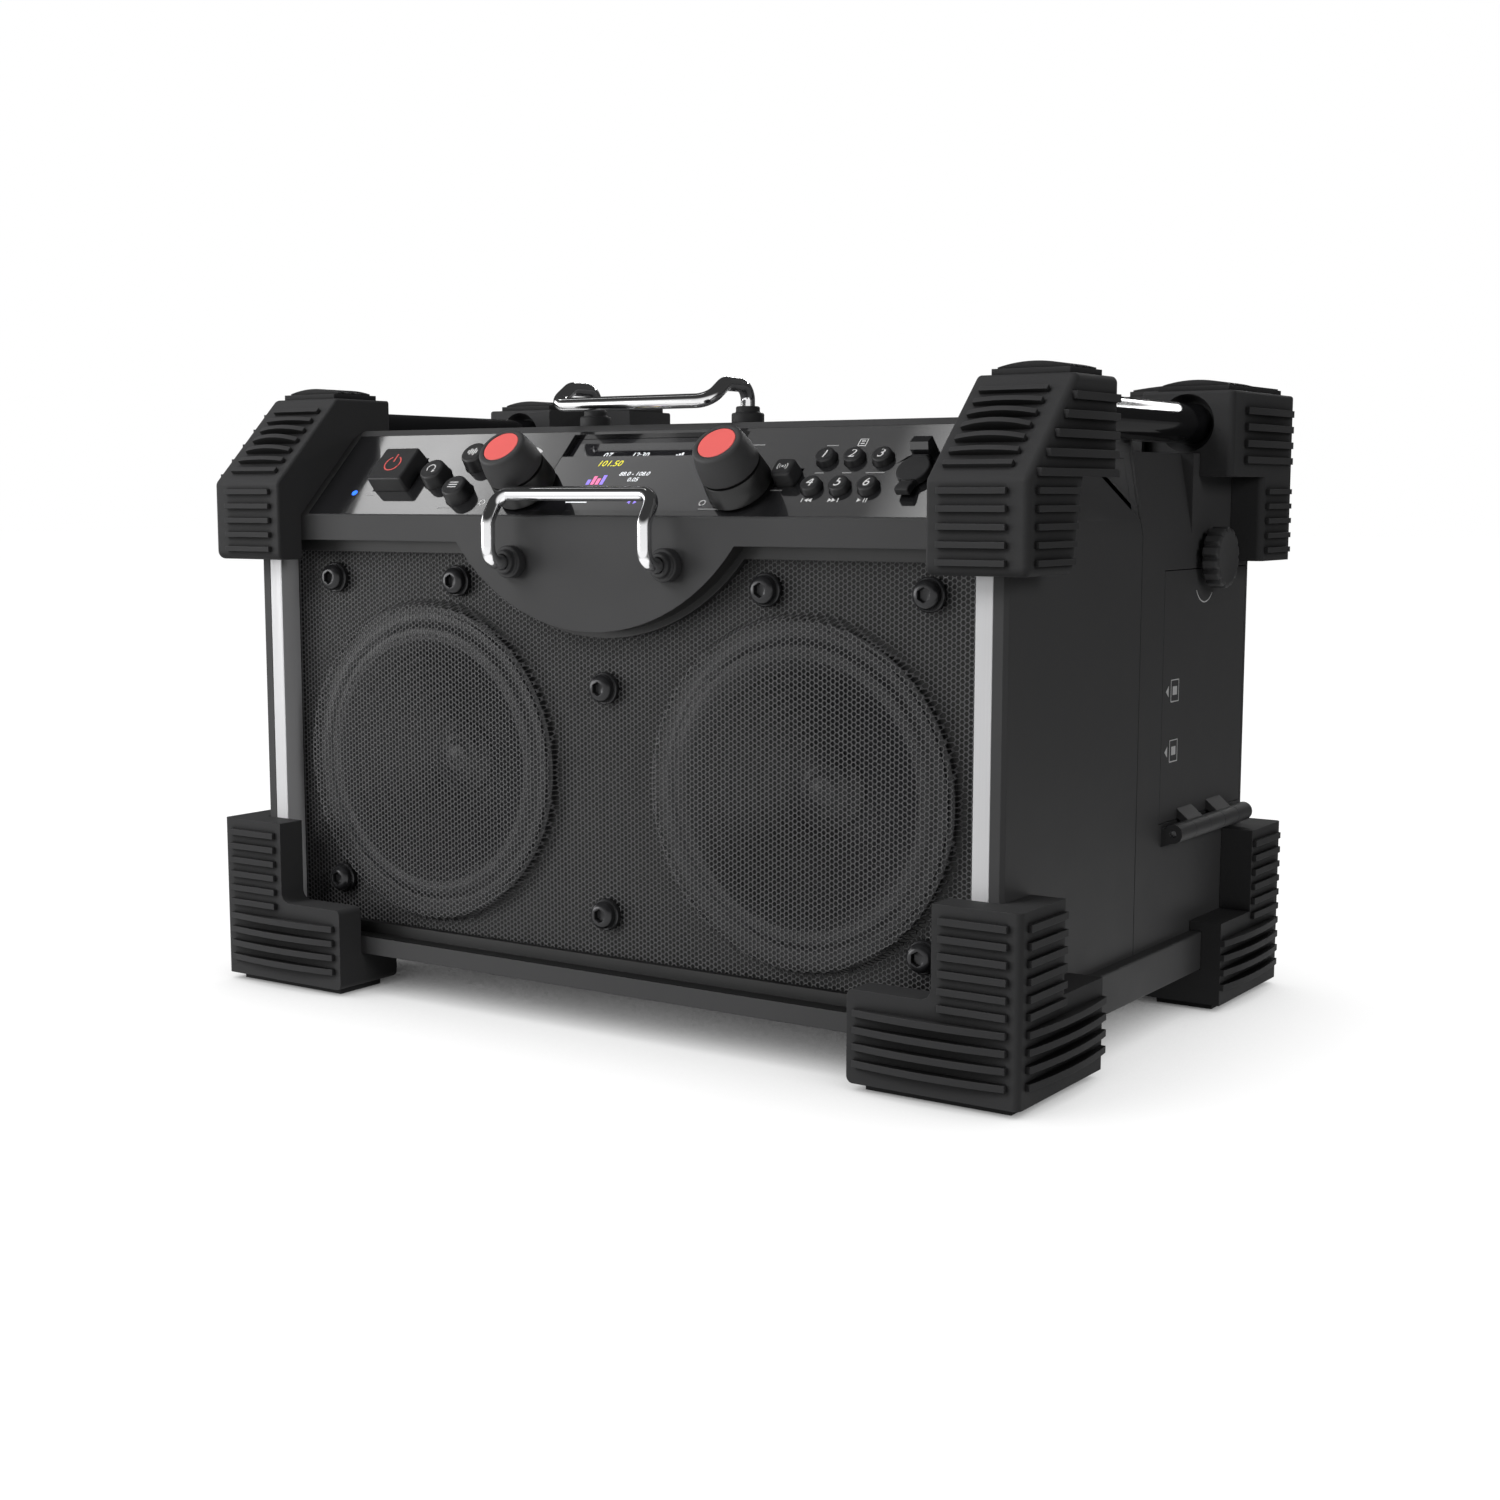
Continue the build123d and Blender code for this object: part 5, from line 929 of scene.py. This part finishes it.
class RADIO_OT_guards(bpy.types.Operator):
    """Two guards of bent chromed rod, their grommets, and the two handle tubes"""

    bl_idname = "radio.guards"
    bl_label = "Guards and Tubes"

    def execute(self, context):
        for node, path in self.paths().items():
            add_piece(f"{node}_rod", swept(rounded_path(path, ROD_BEND, 14), ROD_RADIUS, 32), "chrome",
                      slot=SLOTS[node], replaces=(node,), sharp=math.radians(60))
        for side in SIDES:
            node = f"handle_tube_{side}"
            low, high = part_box(node)
            centre = ((low.x + high.x) / 2, low.y, (low.z + high.z) / 2)
            outer = (high.x - low.x) / 2 / MM
            end = (high.y - low.y) / MM
            wall, bevel = 2.0, 0.4
            profile = [(outer - wall, 0), (outer - bevel, 0), (outer, bevel), (outer, end - bevel),
                       (outer - bevel, end), (outer - wall, end), (outer - wall, 0)]
            pipe = turned(profile, centre, BACK, context.scene.radio_sizes.around)
            add_piece(f"{node}_pipe", pipe, "tube_gloss", slot=SLOTS[node], replaces=(node,))
        soften("guard_grommets", 0.9 * MM, "soft_rubber", segments=4)
        return {"FINISHED"}

    def paths(self):
        """Corners of the rods' centre lines; the top guard mirrors the front one on the slope's middle."""
        low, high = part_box("guard_front")
        half = (high.x - low.x) / 2 - ROD_RADIUS
        rod_y = low.y + ROD_RADIUS
        post_z = low.z + ROD_RADIUS
        knee_z = post_z + 18.6 * MM
        corners = [(-half, high.y, post_z), (-half, rod_y, post_z), (-half, rod_y, knee_z),
                   (-half, rod_y + 7.9 * MM, knee_z + 12.4 * MM)]
        front = corners + [(-x, y, z) for x, y, z in reversed(corners)]
        face, roof = HOUSING_LOW.y, HOUSING_HIGH.z
        top = [(x, face + roof - z, roof + face - y) for x, y, z in front]
        return {"guard_front": front, "guard_top": top}


# ---------------------------------------------------------------- knobs and keys

class RADIO_OT_knobs(bpy.types.Operator):
    """Two turned knobs with a groove and a red disc, and the shafts under them"""

    bl_idname = "radio.knobs"
    bl_label = "Knobs"

    def execute(self, context):
        around = context.scene.radio_sizes.around
        skirt = [(3.05, 1.6), (14.6, 1.6), (14.9, 1.9), (14.75, 4.0), (13.85, 11.6), (13.5, 12.0),
                 (12.1, 12.0), (12.0, 12.1), (12.0, 13.2), (3.05, 13.2), (3.05, 1.6)]
        disc = [(0, 26.5), (8.7, 26.5), (8.7, 27.2), (8.5, 27.4), (6, 27.45), (0, 27.5)]
        for label in ("volume", "tuning"):
            knob = f"{label}_knob"
            centre = on_panel(*panel_place(middle(f"{label}_shaft")))
            for part, profile, material, node, replaced in (
                    ("grip", self.grip(), "knob_rubber", knob, (knob,)),
                    ("skirt", skirt, "knob_skirt", knob, ()),
                    ("disc", disc, "disc_red", f"{knob}_cap", (f"{knob}_cap",))):
                add_piece(f"{knob}_{part}", turned(profile, centre, OUT, around), material, f"{label}_dial",
                          SLOTS[node], replaced)
            paint("plain_steel", f"{label}_shaft", f"{label}_encoder")
        return {"FINISHED"}

    def grip(self):
        """Profile of the upper part, in millimetres: a wall that narrows by 2 t and swells by 0.35 sin(pi t),
        then a round edge and the groove round the disc."""
        t = np.linspace(0, 1, 9)
        a = np.linspace(0, math.pi / 2, 7)
        return [(3.05, 13.2), (12.3, 13.2), (13.4, 13.2), (13.7, 13.5),
                *zip(13.7 - 2.0 * t + 0.35 * np.sin(math.pi * t), 13.6 + 12.3 * t),
                *zip(10.1 + 1.6 * np.cos(a), 25.9 + 1.6 * np.sin(a)),
                (9.1, 27.5), (8.9, 27.35), (8.85, 26.5), (0, 26.5), (0, 21), (3.05, 21), (3.05, 13.2)]


class RADIO_OT_keys(bpy.types.Operator):
    """Power key, round keys, square key and six preset keys, with plain signs and numerals"""

    bl_idname = "radio.keys"
    bl_label = "Keys"

    def execute(self, context):
        self.key("power_button", rounded_box(22.6, 22.2, 1.6), 8.0, 0.42, 1.1)
        for node in ("source_button", "info_button", "tone_button"):
            self.key(node, circle(7.4), 7.0, 0.86, 1.5)
        self.key("auto_button", rounded_box(10.6, 10.6, 2.2), 7.0, 0.45, 1.3)
        for number in range(1, 7):
            self.key(f"preset_button_{number}", circle(4.9), 3.6, 0.38, 1.2)
        self.signs()
        return {"FINISHED"}

    def spot(self, node, height=0.0):
        """Matrix of a height in millimetres over the panel, at the middle of a key."""
        return panel_spot(*panel_place(middle(node)), height)

    def key(self, node, outline, rise, draft, edge):
        """Key cap with straight sides drawn in by the draft, a quarter-round edge and a slightly dished top.

        The edge's levels are (draft + edge * (1 - cos a), rise - edge + edge * sin a). A flange under the
        panel and a stem that reaches the switch come with it."""
        a = np.linspace(0, math.pi / 2, 7)
        cap = [(0.0, -3.0), (0.0, 0.0), (draft * 0.5, (rise - edge) / 2),
               *zip(draft + edge * (1 - np.cos(a)), rise - edge + edge * np.sin(a)),
               (draft + edge + 0.8, rise - 0.06), (draft + edge + 1.8, rise - 0.12)]
        flange = [(-1.2, -4.4), (-1.2, -3.2), (0.0, -3.2)]
        stem = [(0, -8.2), (0, -4.4)]
        for part, form, levels, replaced in (("cap", outline, cap, (node,)), ("flange", outline, flange, ()),
                                             ("stem", circle(2.0, 24), stem, ())):
            add_piece(f"{node}_{part}", stacked(form, levels, self.spot(node)), "key_plastic", body_of(node),
                      SLOTS[node], replaced)

    def signs(self):
        """Numerals on the presets, a power sign, and plain signs on the other keys, in their dished tops."""
        for number in range(1, 7):
            node = f"preset_button_{number}"
            numerals(f"numeral_{number}", str(number), 7.0, self.spot(node, 3.5), "print_white",
                     body_of(node))
        ring = strip(arc((0, 0), 4.6, 118, 422, 40), 0.7)
        stroke = box_loop(-0.35, 1.0, 0.35, 6.2)
        marks("power_sign", [*ring, stroke], self.spot("power_button", 7.9), "print_red", "power_button")
        bars = [bar(x, 0, 0.7, height)
                for x, height in ((-2.4, 2.0), (-1.2, 4.0), (0, 2.8), (1.2, 4.8), (2.4, 2.4))]
        lines = [bar(0, y, 5.2, 0.6) for y in (-1.5, 0, 1.5)]
        arrow = [*strip(arc((0, 0), 2.3, -40, 220, 20), 0.55),
                 np.array([(1.0, -2.6), (3.0, -1.9), (1.9, -0.6)])]
        waves = [loop for r in (1.4, 2.5) for side in (0, 180)
                 for loop in strip(arc((0, 0), r, side - 42, side + 42, 10), 0.45)]
        dot = arc((0, 0), 0.55, 0, 345, 16)
        for sign, loops, node in (("tone", bars, "tone_button"), ("info", lines, "info_button"),
                                  ("source", arrow, "source_button"), ("scan", [*waves, dot], "auto_button")):
            marks(f"{sign}_sign", loops, self.spot(node, 6.9), "print_white", node)


# ---------------------------------------------------------------- control panel, display, prints

class RADIO_OT_panel(bpy.types.Operator):
    """Gloss control panel, display window with plain content, and the marks printed round the controls"""

    bl_idname = "radio.panel"
    bl_label = "Control Panel"

    def execute(self, context):
        mould("control_panel", "panel_gloss", FLAT_ANGLE)
        mould("display_lens", "display_glass", FLAT_ANGLE)
        soften("aux_cover", 2 * context.scene.radio_sizes.plastic_edge, "soft_rubber", segments=3)
        paint("recess_black", "display_module")
        paint("circuit_green", "control_board")
        paint("plain_steel", "aux_socket")
        self.prints()
        self.display()
        return {"FINISHED"}

    def prints(self):
        """Marks on the panel: an arc by the volume knob, play signs under the presets, dashes and rings."""
        plane = panel_spot(0, 0)
        marks("volume_arc", strip(arc((-58.5, 33.5), 11.6, 98, 47, 14), 1.3), plane, "print_white")
        x, s = panel_place(middle("preset_button_4"))
        row = s - 7.2
        pitch = 13.9
        play = [pointer(x + 0.2, row, -1), pointer(x + 2.0, row, -1), bar(x - 1.9, row),
                pointer(x + pitch - 2.0, row, 1), pointer(x + pitch - 0.2, row, 1), bar(x + pitch + 1.9, row),
                pointer(x + 2 * pitch - 1.8, row, 1), bar(x + 2 * pitch + 0.6, row),
                bar(x + 2 * pitch + 1.7, row)]
        marks("play_signs", play, plane, "print_white")
        dashes = ((109.5, 26.9, 4.4), (123.2, 26.9, 4.4), (137.0, 26.9, 9.0), (109.2, 43.5, 6.0),
                  (92.5, 16.6, 6.0), (64.3, 5.2, 14.0), (66.7, 9.0, 9.0), (-89.2, 5.4, 9.0),
                  (-142.9, 13.8, 5.0), (70.5, 44.6, 7.0))
        marks("panel_dashes", [dash(*given) for given in dashes], plane, "print_grey")
        frame_line = [(121.6, 43.2), (121.6, 47.2), (125.4, 47.2), (125.4, 43.2), (121.6, 43.2)]
        marks("list_sign", [*strip(frame_line, 0.5), dash(123.5, 44.6, 2.0), dash(123.5, 46.0, 2.0)], plane,
              "print_white")
        rings = [loop for x in (57.8, -67.8) for loop in strip(arc((x, 9.0), 1.5, 0, 360, 24), 0.5)]
        marks("press_signs", rings, plane, "print_white")
        lamp = [(0, -0.4), (1.7, -0.4), (1.7, 0.0), (1.2, 0.35), (0, 0.5)]
        add_piece("link_lamp", turned(lamp, on_panel(-153.8, 15.4), OUT, 32), "lit_blue")

    def display(self):
        """Plain content on the display: numbers, a clock, bars and dashes; the upper row is in the recess."""
        low, high = -0.12, -2.97
        numerals("display_clock", "12:30", 4.4, panel_spot(5.1, 42.3, high), "lit_white")
        numerals("display_channel", "07", 4.8, panel_spot(-13.7, 42.3, high), "lit_white")
        signal = [box_loop(24 + 1.5 * i, 40.8, 25 + 1.5 * i, 41.8 + 0.6 * i) for i in range(4)]
        marks("display_signal", signal, panel_spot(0, 0, high), "lit_white")
        numerals("display_frequency", "101.50", 5.2, panel_spot(-6.1, 34.0, low), "lit_yellow")
        numerals("display_level", "88.0 - 108.0", 3.5, panel_spot(11.4, 27.3, low), "lit_white")
        numerals("display_step", "0.05", 3.5, panel_spot(12.3, 23.6, low), "lit_white")
        glass = panel_spot(0, 0, low)
        meters = (("lit_violet", 3.2), ("lit_pink", 5.4), ("lit_pink", 4.0), ("lit_violet", 6.0))
        for number, (material, height) in enumerate(meters):
            x = -13.0 + 2.6 * number
            marks(f"display_meter_{number + 1}", [box_loop(x, 20.6, x + 1.9, 20.6 + height)], glass, material)
        marks("display_base_row", [dash(-12.2, 9.4, 12.0)], glass, "lit_white")
        marks("display_seek", [pointer(17.4, 9.5, -1), pointer(21.0, 9.5, 1)], glass, "lit_violet")


# ---------------------------------------------------------------- door fittings and inner parts

class RADIO_OT_door_fittings(bpy.types.Operator):
    """Scalloped lock knob, its cam, the hinge pin and the marks printed on the door"""

    bl_idname = "radio.door_fittings"
    bl_label = "Door Fittings"

    def execute(self, context):
        self.lock_knob()
        paint("plain_steel", "door_lock_cam", "door_hinge_pin", "usb_socket", "card_socket")
        self.prints()
        return {"FINISHED"}

    def lock_knob(self):
        """Round knob whose sides dip at each of 14 scallops: r(a) = radius - 1.5 * max(0, cos(14 a))^1.5."""
        low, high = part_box("door_lock_knob")
        y, z = (low.y + high.y) / 2, (low.z + high.z) / 2
        radius = (high.y - low.y) / 2 / MM
        around = 168
        a = angles(around)
        dip = 1.5 * np.clip(np.cos(14 * a), 0, 1) ** 1.5
        face, flank = high.x / MM, FLANK / MM
        foot = flank + 3.0
        side = [(0.0, foot, 0), (radius - 2.4, foot, 0), (radius - 0.6, foot, 1), (radius, foot + 0.6, 1),
                (radius, face - 1.2, 1), (radius - 0.4, face - 0.4, 1), (radius - 1.2, face, 0.75),
                (radius - 3.2, face, 0), (radius - 4.0, face - 0.35, 0), (0.0, face - 0.2, 0)]
        rings = []
        for r, x, share in side:
            reach = (r - dip * share) * MM
            rings.append(np.column_stack([np.full(around, x * MM), y + reach * np.cos(a),
                                          z + reach * np.sin(a)]))
        add_piece("door_lock_grip", (np.concatenate(rings), ring_quads(len(side), around)), "knob_rubber",
                  "door_lock", SLOTS["door_lock_knob"], ("door_lock_knob",))
        inner = low.x / MM
        neck = [(0, inner), (3.4, inner), (3.4, flank + 0.2), (6.4, flank + 0.3), (6.4, foot), (0, foot)]
        add_piece("door_lock_neck", turned(neck, (0, y, z), RIGHT, 48), "key_plastic", "door_lock",
                  SLOTS["door_lock_knob"])

    def prints(self):
        """Arc of the lock's travel, and triangles beside plain outlines for the two sockets."""
        lock = middle("door_lock_knob") / MM
        travel = strip(arc((lock.y - 1.0, lock.z - 8.9), 12.2, 212, 318, 24), 0.6)
        marks("lock_travel", travel, DOOR_PLACE, "print_white", "door")
        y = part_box("compartment_door")[0].y / MM + 4.0
        for number, node in enumerate(("card_socket", "usb_socket"), 1):
            z = middle(node).z / MM
            arrow = np.array([(y + 3.2, z - 2.6), (y + 3.2, z + 2.6), (y, z)])
            outline = strip([(y + 6, z - 5), (y + 6, z + 5), (y + 15, z + 5), (y + 15, z - 5),
                             (y + 6, z - 5)], 0.7)
            inner = box_loop(y + 8, z - 2, y + 13, z + 2)
            marks(f"socket_mark_{number}", [arrow, *outline, inner], DOOR_PLACE, "print_white", "door")


class RADIO_OT_inner_parts(bpy.types.Operator):
    """Finishes of the loudspeakers, the amplifier board and the transformer"""

    bl_idname = "radio.inner_parts"
    bl_label = "Inner Parts"

    def execute(self, context):
        for side in SIDES:
            paint("basket_paint", f"speaker_basket_{side}")
            paint(f"cone_paper_{side}", f"speaker_cone_{side}", f"speaker_dust_cap_{side}")
        paint("circuit_green", "amplifier_board")
        paint("transformer_steel", "power_transformer")
        return {"FINISHED"}


# ---------------------------------------------------------------- stage

CAMERA_SPOT = Vector((0.58623, -0.87763, 0.24566))


def stage_mesh(name, corners):
    """Links a single flat face of the stage, with the finish of the same name."""
    mesh = bpy.data.meshes.new(name)
    mesh.from_pydata(corners, [], [(0, 1, 2, 3)])
    mesh.materials.append(bpy.data.materials[name])
    face = bpy.data.objects.new(name, mesh)
    bpy.context.scene.collection.objects.link(face)
    return face


def floor_material():
    """Pale floor: it takes the lamps' light and shadows, and glows white to the eye, its glow dimmed by
    ambient occlusion near the radio as a painted contact shadow.

    Polished faces mirror it as a white sheet that runs on in front of the radio and ends in a dark room
    elsewhere."""
    tree, shader = start_material("studio_floor")
    feed(tree, shader, {"Base Color": (0.12, 0.12, 0.12, 1), "Roughness": 0.9, "Specular IOR Level": 0.0})
    # Painted shadow: the glow is dimmed where the radio closes the floor in.
    near = place(tree, "AmbientOcclusion", {"Distance": 0.14}, samples=12)["AO"]
    painted_shadow_share = reckon(tree, "POWER", ramp(tree, near, 0.0, 0.9), 0.6)
    rays = place(tree, "LightPath")
    where = here(tree)
    away = place(tree, "VectorMath", {0: where}, operation="LENGTH")["Value"]
    sheet = ramp(tree, away, 0.4, 0.6, 1.0, 0.12)
    sweep = ramp(tree, place(tree, "SeparateXYZ", {0: where})["Y"], -0.3, -0.45, 0.0, 0.9)
    mirrored = reckon(tree, "MULTIPLY", rays["Is Glossy Ray"], reckon(tree, "MAXIMUM", sheet, sweep))
    seen = reckon(tree, "ADD", rays["Is Camera Ray"], mirrored)
    through = reckon(tree, "ADD", seen, rays["Is Transmission Ray"])
    glow = place(tree, "Emission", {"Color": WHITE, "Strength": reckon(tree, "MULTIPLY", through, painted_shadow_share)})
    principled = shader["Base Color"].node.outputs[0]
    show(tree, place(tree, "AddShader", {0: principled, 1: glow[0]})[0])


class RADIO_OT_stage(bpy.types.Operator):
    """Camera, white floor, studio lamps and world"""

    bl_idname = "radio.stage"
    bl_label = "Studio Stage"

    def execute(self, context):
        self.camera(context)
        size, floor = 12.0, CAD_BOX[0][2]
        floor_material()
        stage_mesh("studio_floor", [(-size, -size, floor), (size, -size, floor), (size, size, floor),
                                    (-size, size, floor)])
        self.world(context)
        self.lamps()
        self.card()
        context.scene.view_settings.view_transform = "Standard"
        return {"FINISHED"}

    def camera(self, context):
        """Camera at its measured place, turned by its azimuth and height above the horizon."""
        azimuth, elevation = math.radians(34.105), math.radians(7.284)
        focal, frame_width = 2105.68, 1500.0
        centre = (736.076, 765.579)
        level = math.cos(elevation)
        back = Vector((math.sin(azimuth) * level, -math.cos(azimuth) * level, math.sin(elevation)))
        data = bpy.data.cameras.new("studio_camera")
        data.sensor_width = 36.0
        data.lens = focal / frame_width * data.sensor_width
        data.shift_x = 0.5 - centre[0] / frame_width
        data.shift_y = centre[1] / frame_width - 0.5
        data.clip_start = 0.01
        data.clip_end = 100.0
        camera = bpy.data.objects.new("studio_camera", data)
        camera.location = CAMERA_SPOT
        camera.rotation_mode = "QUATERNION"
        camera.rotation_quaternion = (-back).to_track_quat("-Z", "Y")
        context.scene.collection.objects.link(camera)
        context.scene.camera = camera

    def world(self, context):
        """White to the eye. For light, a room that is bright in front, low down, and dim behind and overhead.

        Its strength is dim + bright * front * low; polished faces see the bright part as a white backdrop."""
        world = bpy.data.worlds.new("studio_world")
        world.use_nodes = True
        tree = world.node_tree
        tree.nodes.clear()
        parts = place(tree, "SeparateXYZ", {0: place(tree, "TexCoord")["Generated"]})
        low = ramp(tree, parts["Z"], 0.1, 0.55, 1.0, 0.0, interpolation_type="SMOOTHSTEP")
        front = ramp(tree, parts["Y"], 0.25, -0.35, interpolation_type="SMOOTHSTEP")
        rays = place(tree, "LightPath")
        bright = ramp(tree, rays["Is Glossy Ray"], 0.0, 1.0, 0.08, 0.85)
        strength = reckon(tree, "MULTIPLY_ADD", reckon(tree, "MULTIPLY", low, front), bright, 0.04)
        light = place(tree, "Background", {"Color": WHITE, "Strength": strength})
        white = place(tree, "Background", {"Color": WHITE, "Strength": 1.0})
        eye = reckon(tree, "ADD", rays["Is Camera Ray"], rays["Is Transmission Ray"], use_clamp=True)
        chosen = place(tree, "MixShader", {0: eye, 1: light[0], 2: white[0]})
        place(tree, "OutputWorld")
        output = next(node for node in tree.nodes if node.type == "OUTPUT_WORLD")
        feed(tree, output.inputs, {"Surface": chosen[0]})
        context.scene.world = world

    def lamps(self):
        """Soft boxes at the height of the radio and over it, and a strip behind it."""
        aim = Vector((0, 0, 0.15))
        boxes = [("front_box", (-0.9, -1.8, 1.5), (1.2, 1.0), 33.0, False),
                 ("corner_box", (-1.9, -1.6, 0.35), (1.4, 0.7), 13.0, True),
                 ("top_box", (-0.6, -0.5, 1.9), (0.6, 0.6), 9.0, False),
                 ("right_box", (2.2, -0.7, 1.0), (1.0, 0.8), 14.0, False),
                 ("left_box", (-2.4, -0.2, 0.7), (1.0, 0.8), 6.0, True),
                 ("back_box", (0.3, 2.4, 0.7), (1.4, 0.8), 8.0, False),
                 ("back_strip", (-0.4, 2.3, 1.24), (2.4, 0.1), 12.0, True)]
        for name, spot, (width, height), power, glossy in boxes:
            data = bpy.data.lights.new(name, "AREA")
            data.shape = "RECTANGLE"
            data.size = width
            data.size_y = height
            data.energy = power
            lamp = bpy.data.objects.new(name, data)
            lamp.location = spot
            lamp.rotation_euler = (aim - Vector(spot)).to_track_quat("-Z", "Y").to_euler()
            lamp.visible_glossy = glossy
            bpy.context.scene.collection.objects.link(lamp)

    def card(self):
        """Bright card that only polished faces mirror, as wide as its image in the panel; it fades to the
        right.

        A corner is the panel point p plus 1.5 m along the eye's ray to p, mirrored in the panel."""
        corners = []
        for x, s in ((-143.5, -6.0), (175.0, -6.0), (175.0, 64.0), (-161.5, 64.0)):
            point = on_panel(x, s)
            way = (point - CAMERA_SPOT).normalized()
            corners.append(point + (way - 2 * way.dot(OUT) * OUT) * 1.5)
        tree = start_material("panel_card")[0]
        across = place(tree, "SeparateXYZ", {0: place(tree, "TexCoord")["UV"]})["X"]
        fade = place(tree, "ValToRGB", {0: across})["Color"]
        stops = ((0.15, 1.0), (0.24, 0.62), (0.29, 0.32), (0.38, 0.22), (0.54, 0.176), (0.7, 0.148),
                 (0.88, 0.112))
        ends = fade.node.color_ramp.elements
        for (spot, level), stop in zip(stops, [*ends, *[ends.new(0.5) for _ in stops[2:]]]):
            stop.position, stop.color = spot, (level, level, level, 1)
        show(tree, place(tree, "Emission", {"Color": fade, "Strength": 4.2})[0])
        card = stage_mesh("panel_card", corners)
        layer = card.data.uv_layers.new(name="card")
        for loop, uv in zip(layer.data, ((0, 0), (1, 0), (1, 1), (0, 1))):
            loop.uv = uv
        card.visible_camera = card.visible_diffuse = card.visible_shadow = card.visible_transmission = False


# ---------------------------------------------------------------- add-on

class RADIO_OT_materials(bpy.types.Operator):
    """Makes every finish from the chosen colours"""

    bl_idname = "radio.materials"
    bl_label = "Finishes"

    def execute(self, context):
        make_materials(context.scene.radio_colours)
        return {"FINISHED"}


OPERATORS = (RADIO_OT_materials, RADIO_OT_bumpers, RADIO_OT_housing, RADIO_OT_grille, RADIO_OT_guards,
             RADIO_OT_knobs, RADIO_OT_keys, RADIO_OT_panel, RADIO_OT_door_fittings, RADIO_OT_inner_parts,
             RADIO_OT_stage)


class RADIO_PT_panel(bpy.types.Panel):
    """Lists the pieces of the radio and their settings"""

    bl_label = "Jobsite Radio"
    bl_idname = "RADIO_PT_panel"
    bl_space_type = "VIEW_3D"
    bl_region_type = "UI"
    bl_category = "Radio"

    def draw(self, context):
        for group in (context.scene.radio_sizes, context.scene.radio_colours):
            box = self.layout.box()
            for key in group.__annotations__:
                box.prop(group, key)
        for operator in OPERATORS:
            self.layout.operator(operator.bl_idname)


CLASSES = (RadioSizes, RadioColours, *OPERATORS, RADIO_PT_panel)


def register():
    for cls in CLASSES:
        bpy.utils.register_class(cls)
    bpy.types.Scene.radio_sizes = PointerProperty(type=RadioSizes)
    bpy.types.Scene.radio_colours = PointerProperty(type=RadioColours)


def unregister():
    del bpy.types.Scene.radio_colours
    del bpy.types.Scene.radio_sizes
    for cls in reversed(CLASSES):
        bpy.utils.unregister_class(cls)


def main():
    """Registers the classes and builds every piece."""
    register()
    for operator in OPERATORS:
        getattr(bpy.ops.radio, operator.bl_idname.split(".")[1])()


if __name__ == "__main__":
    main()
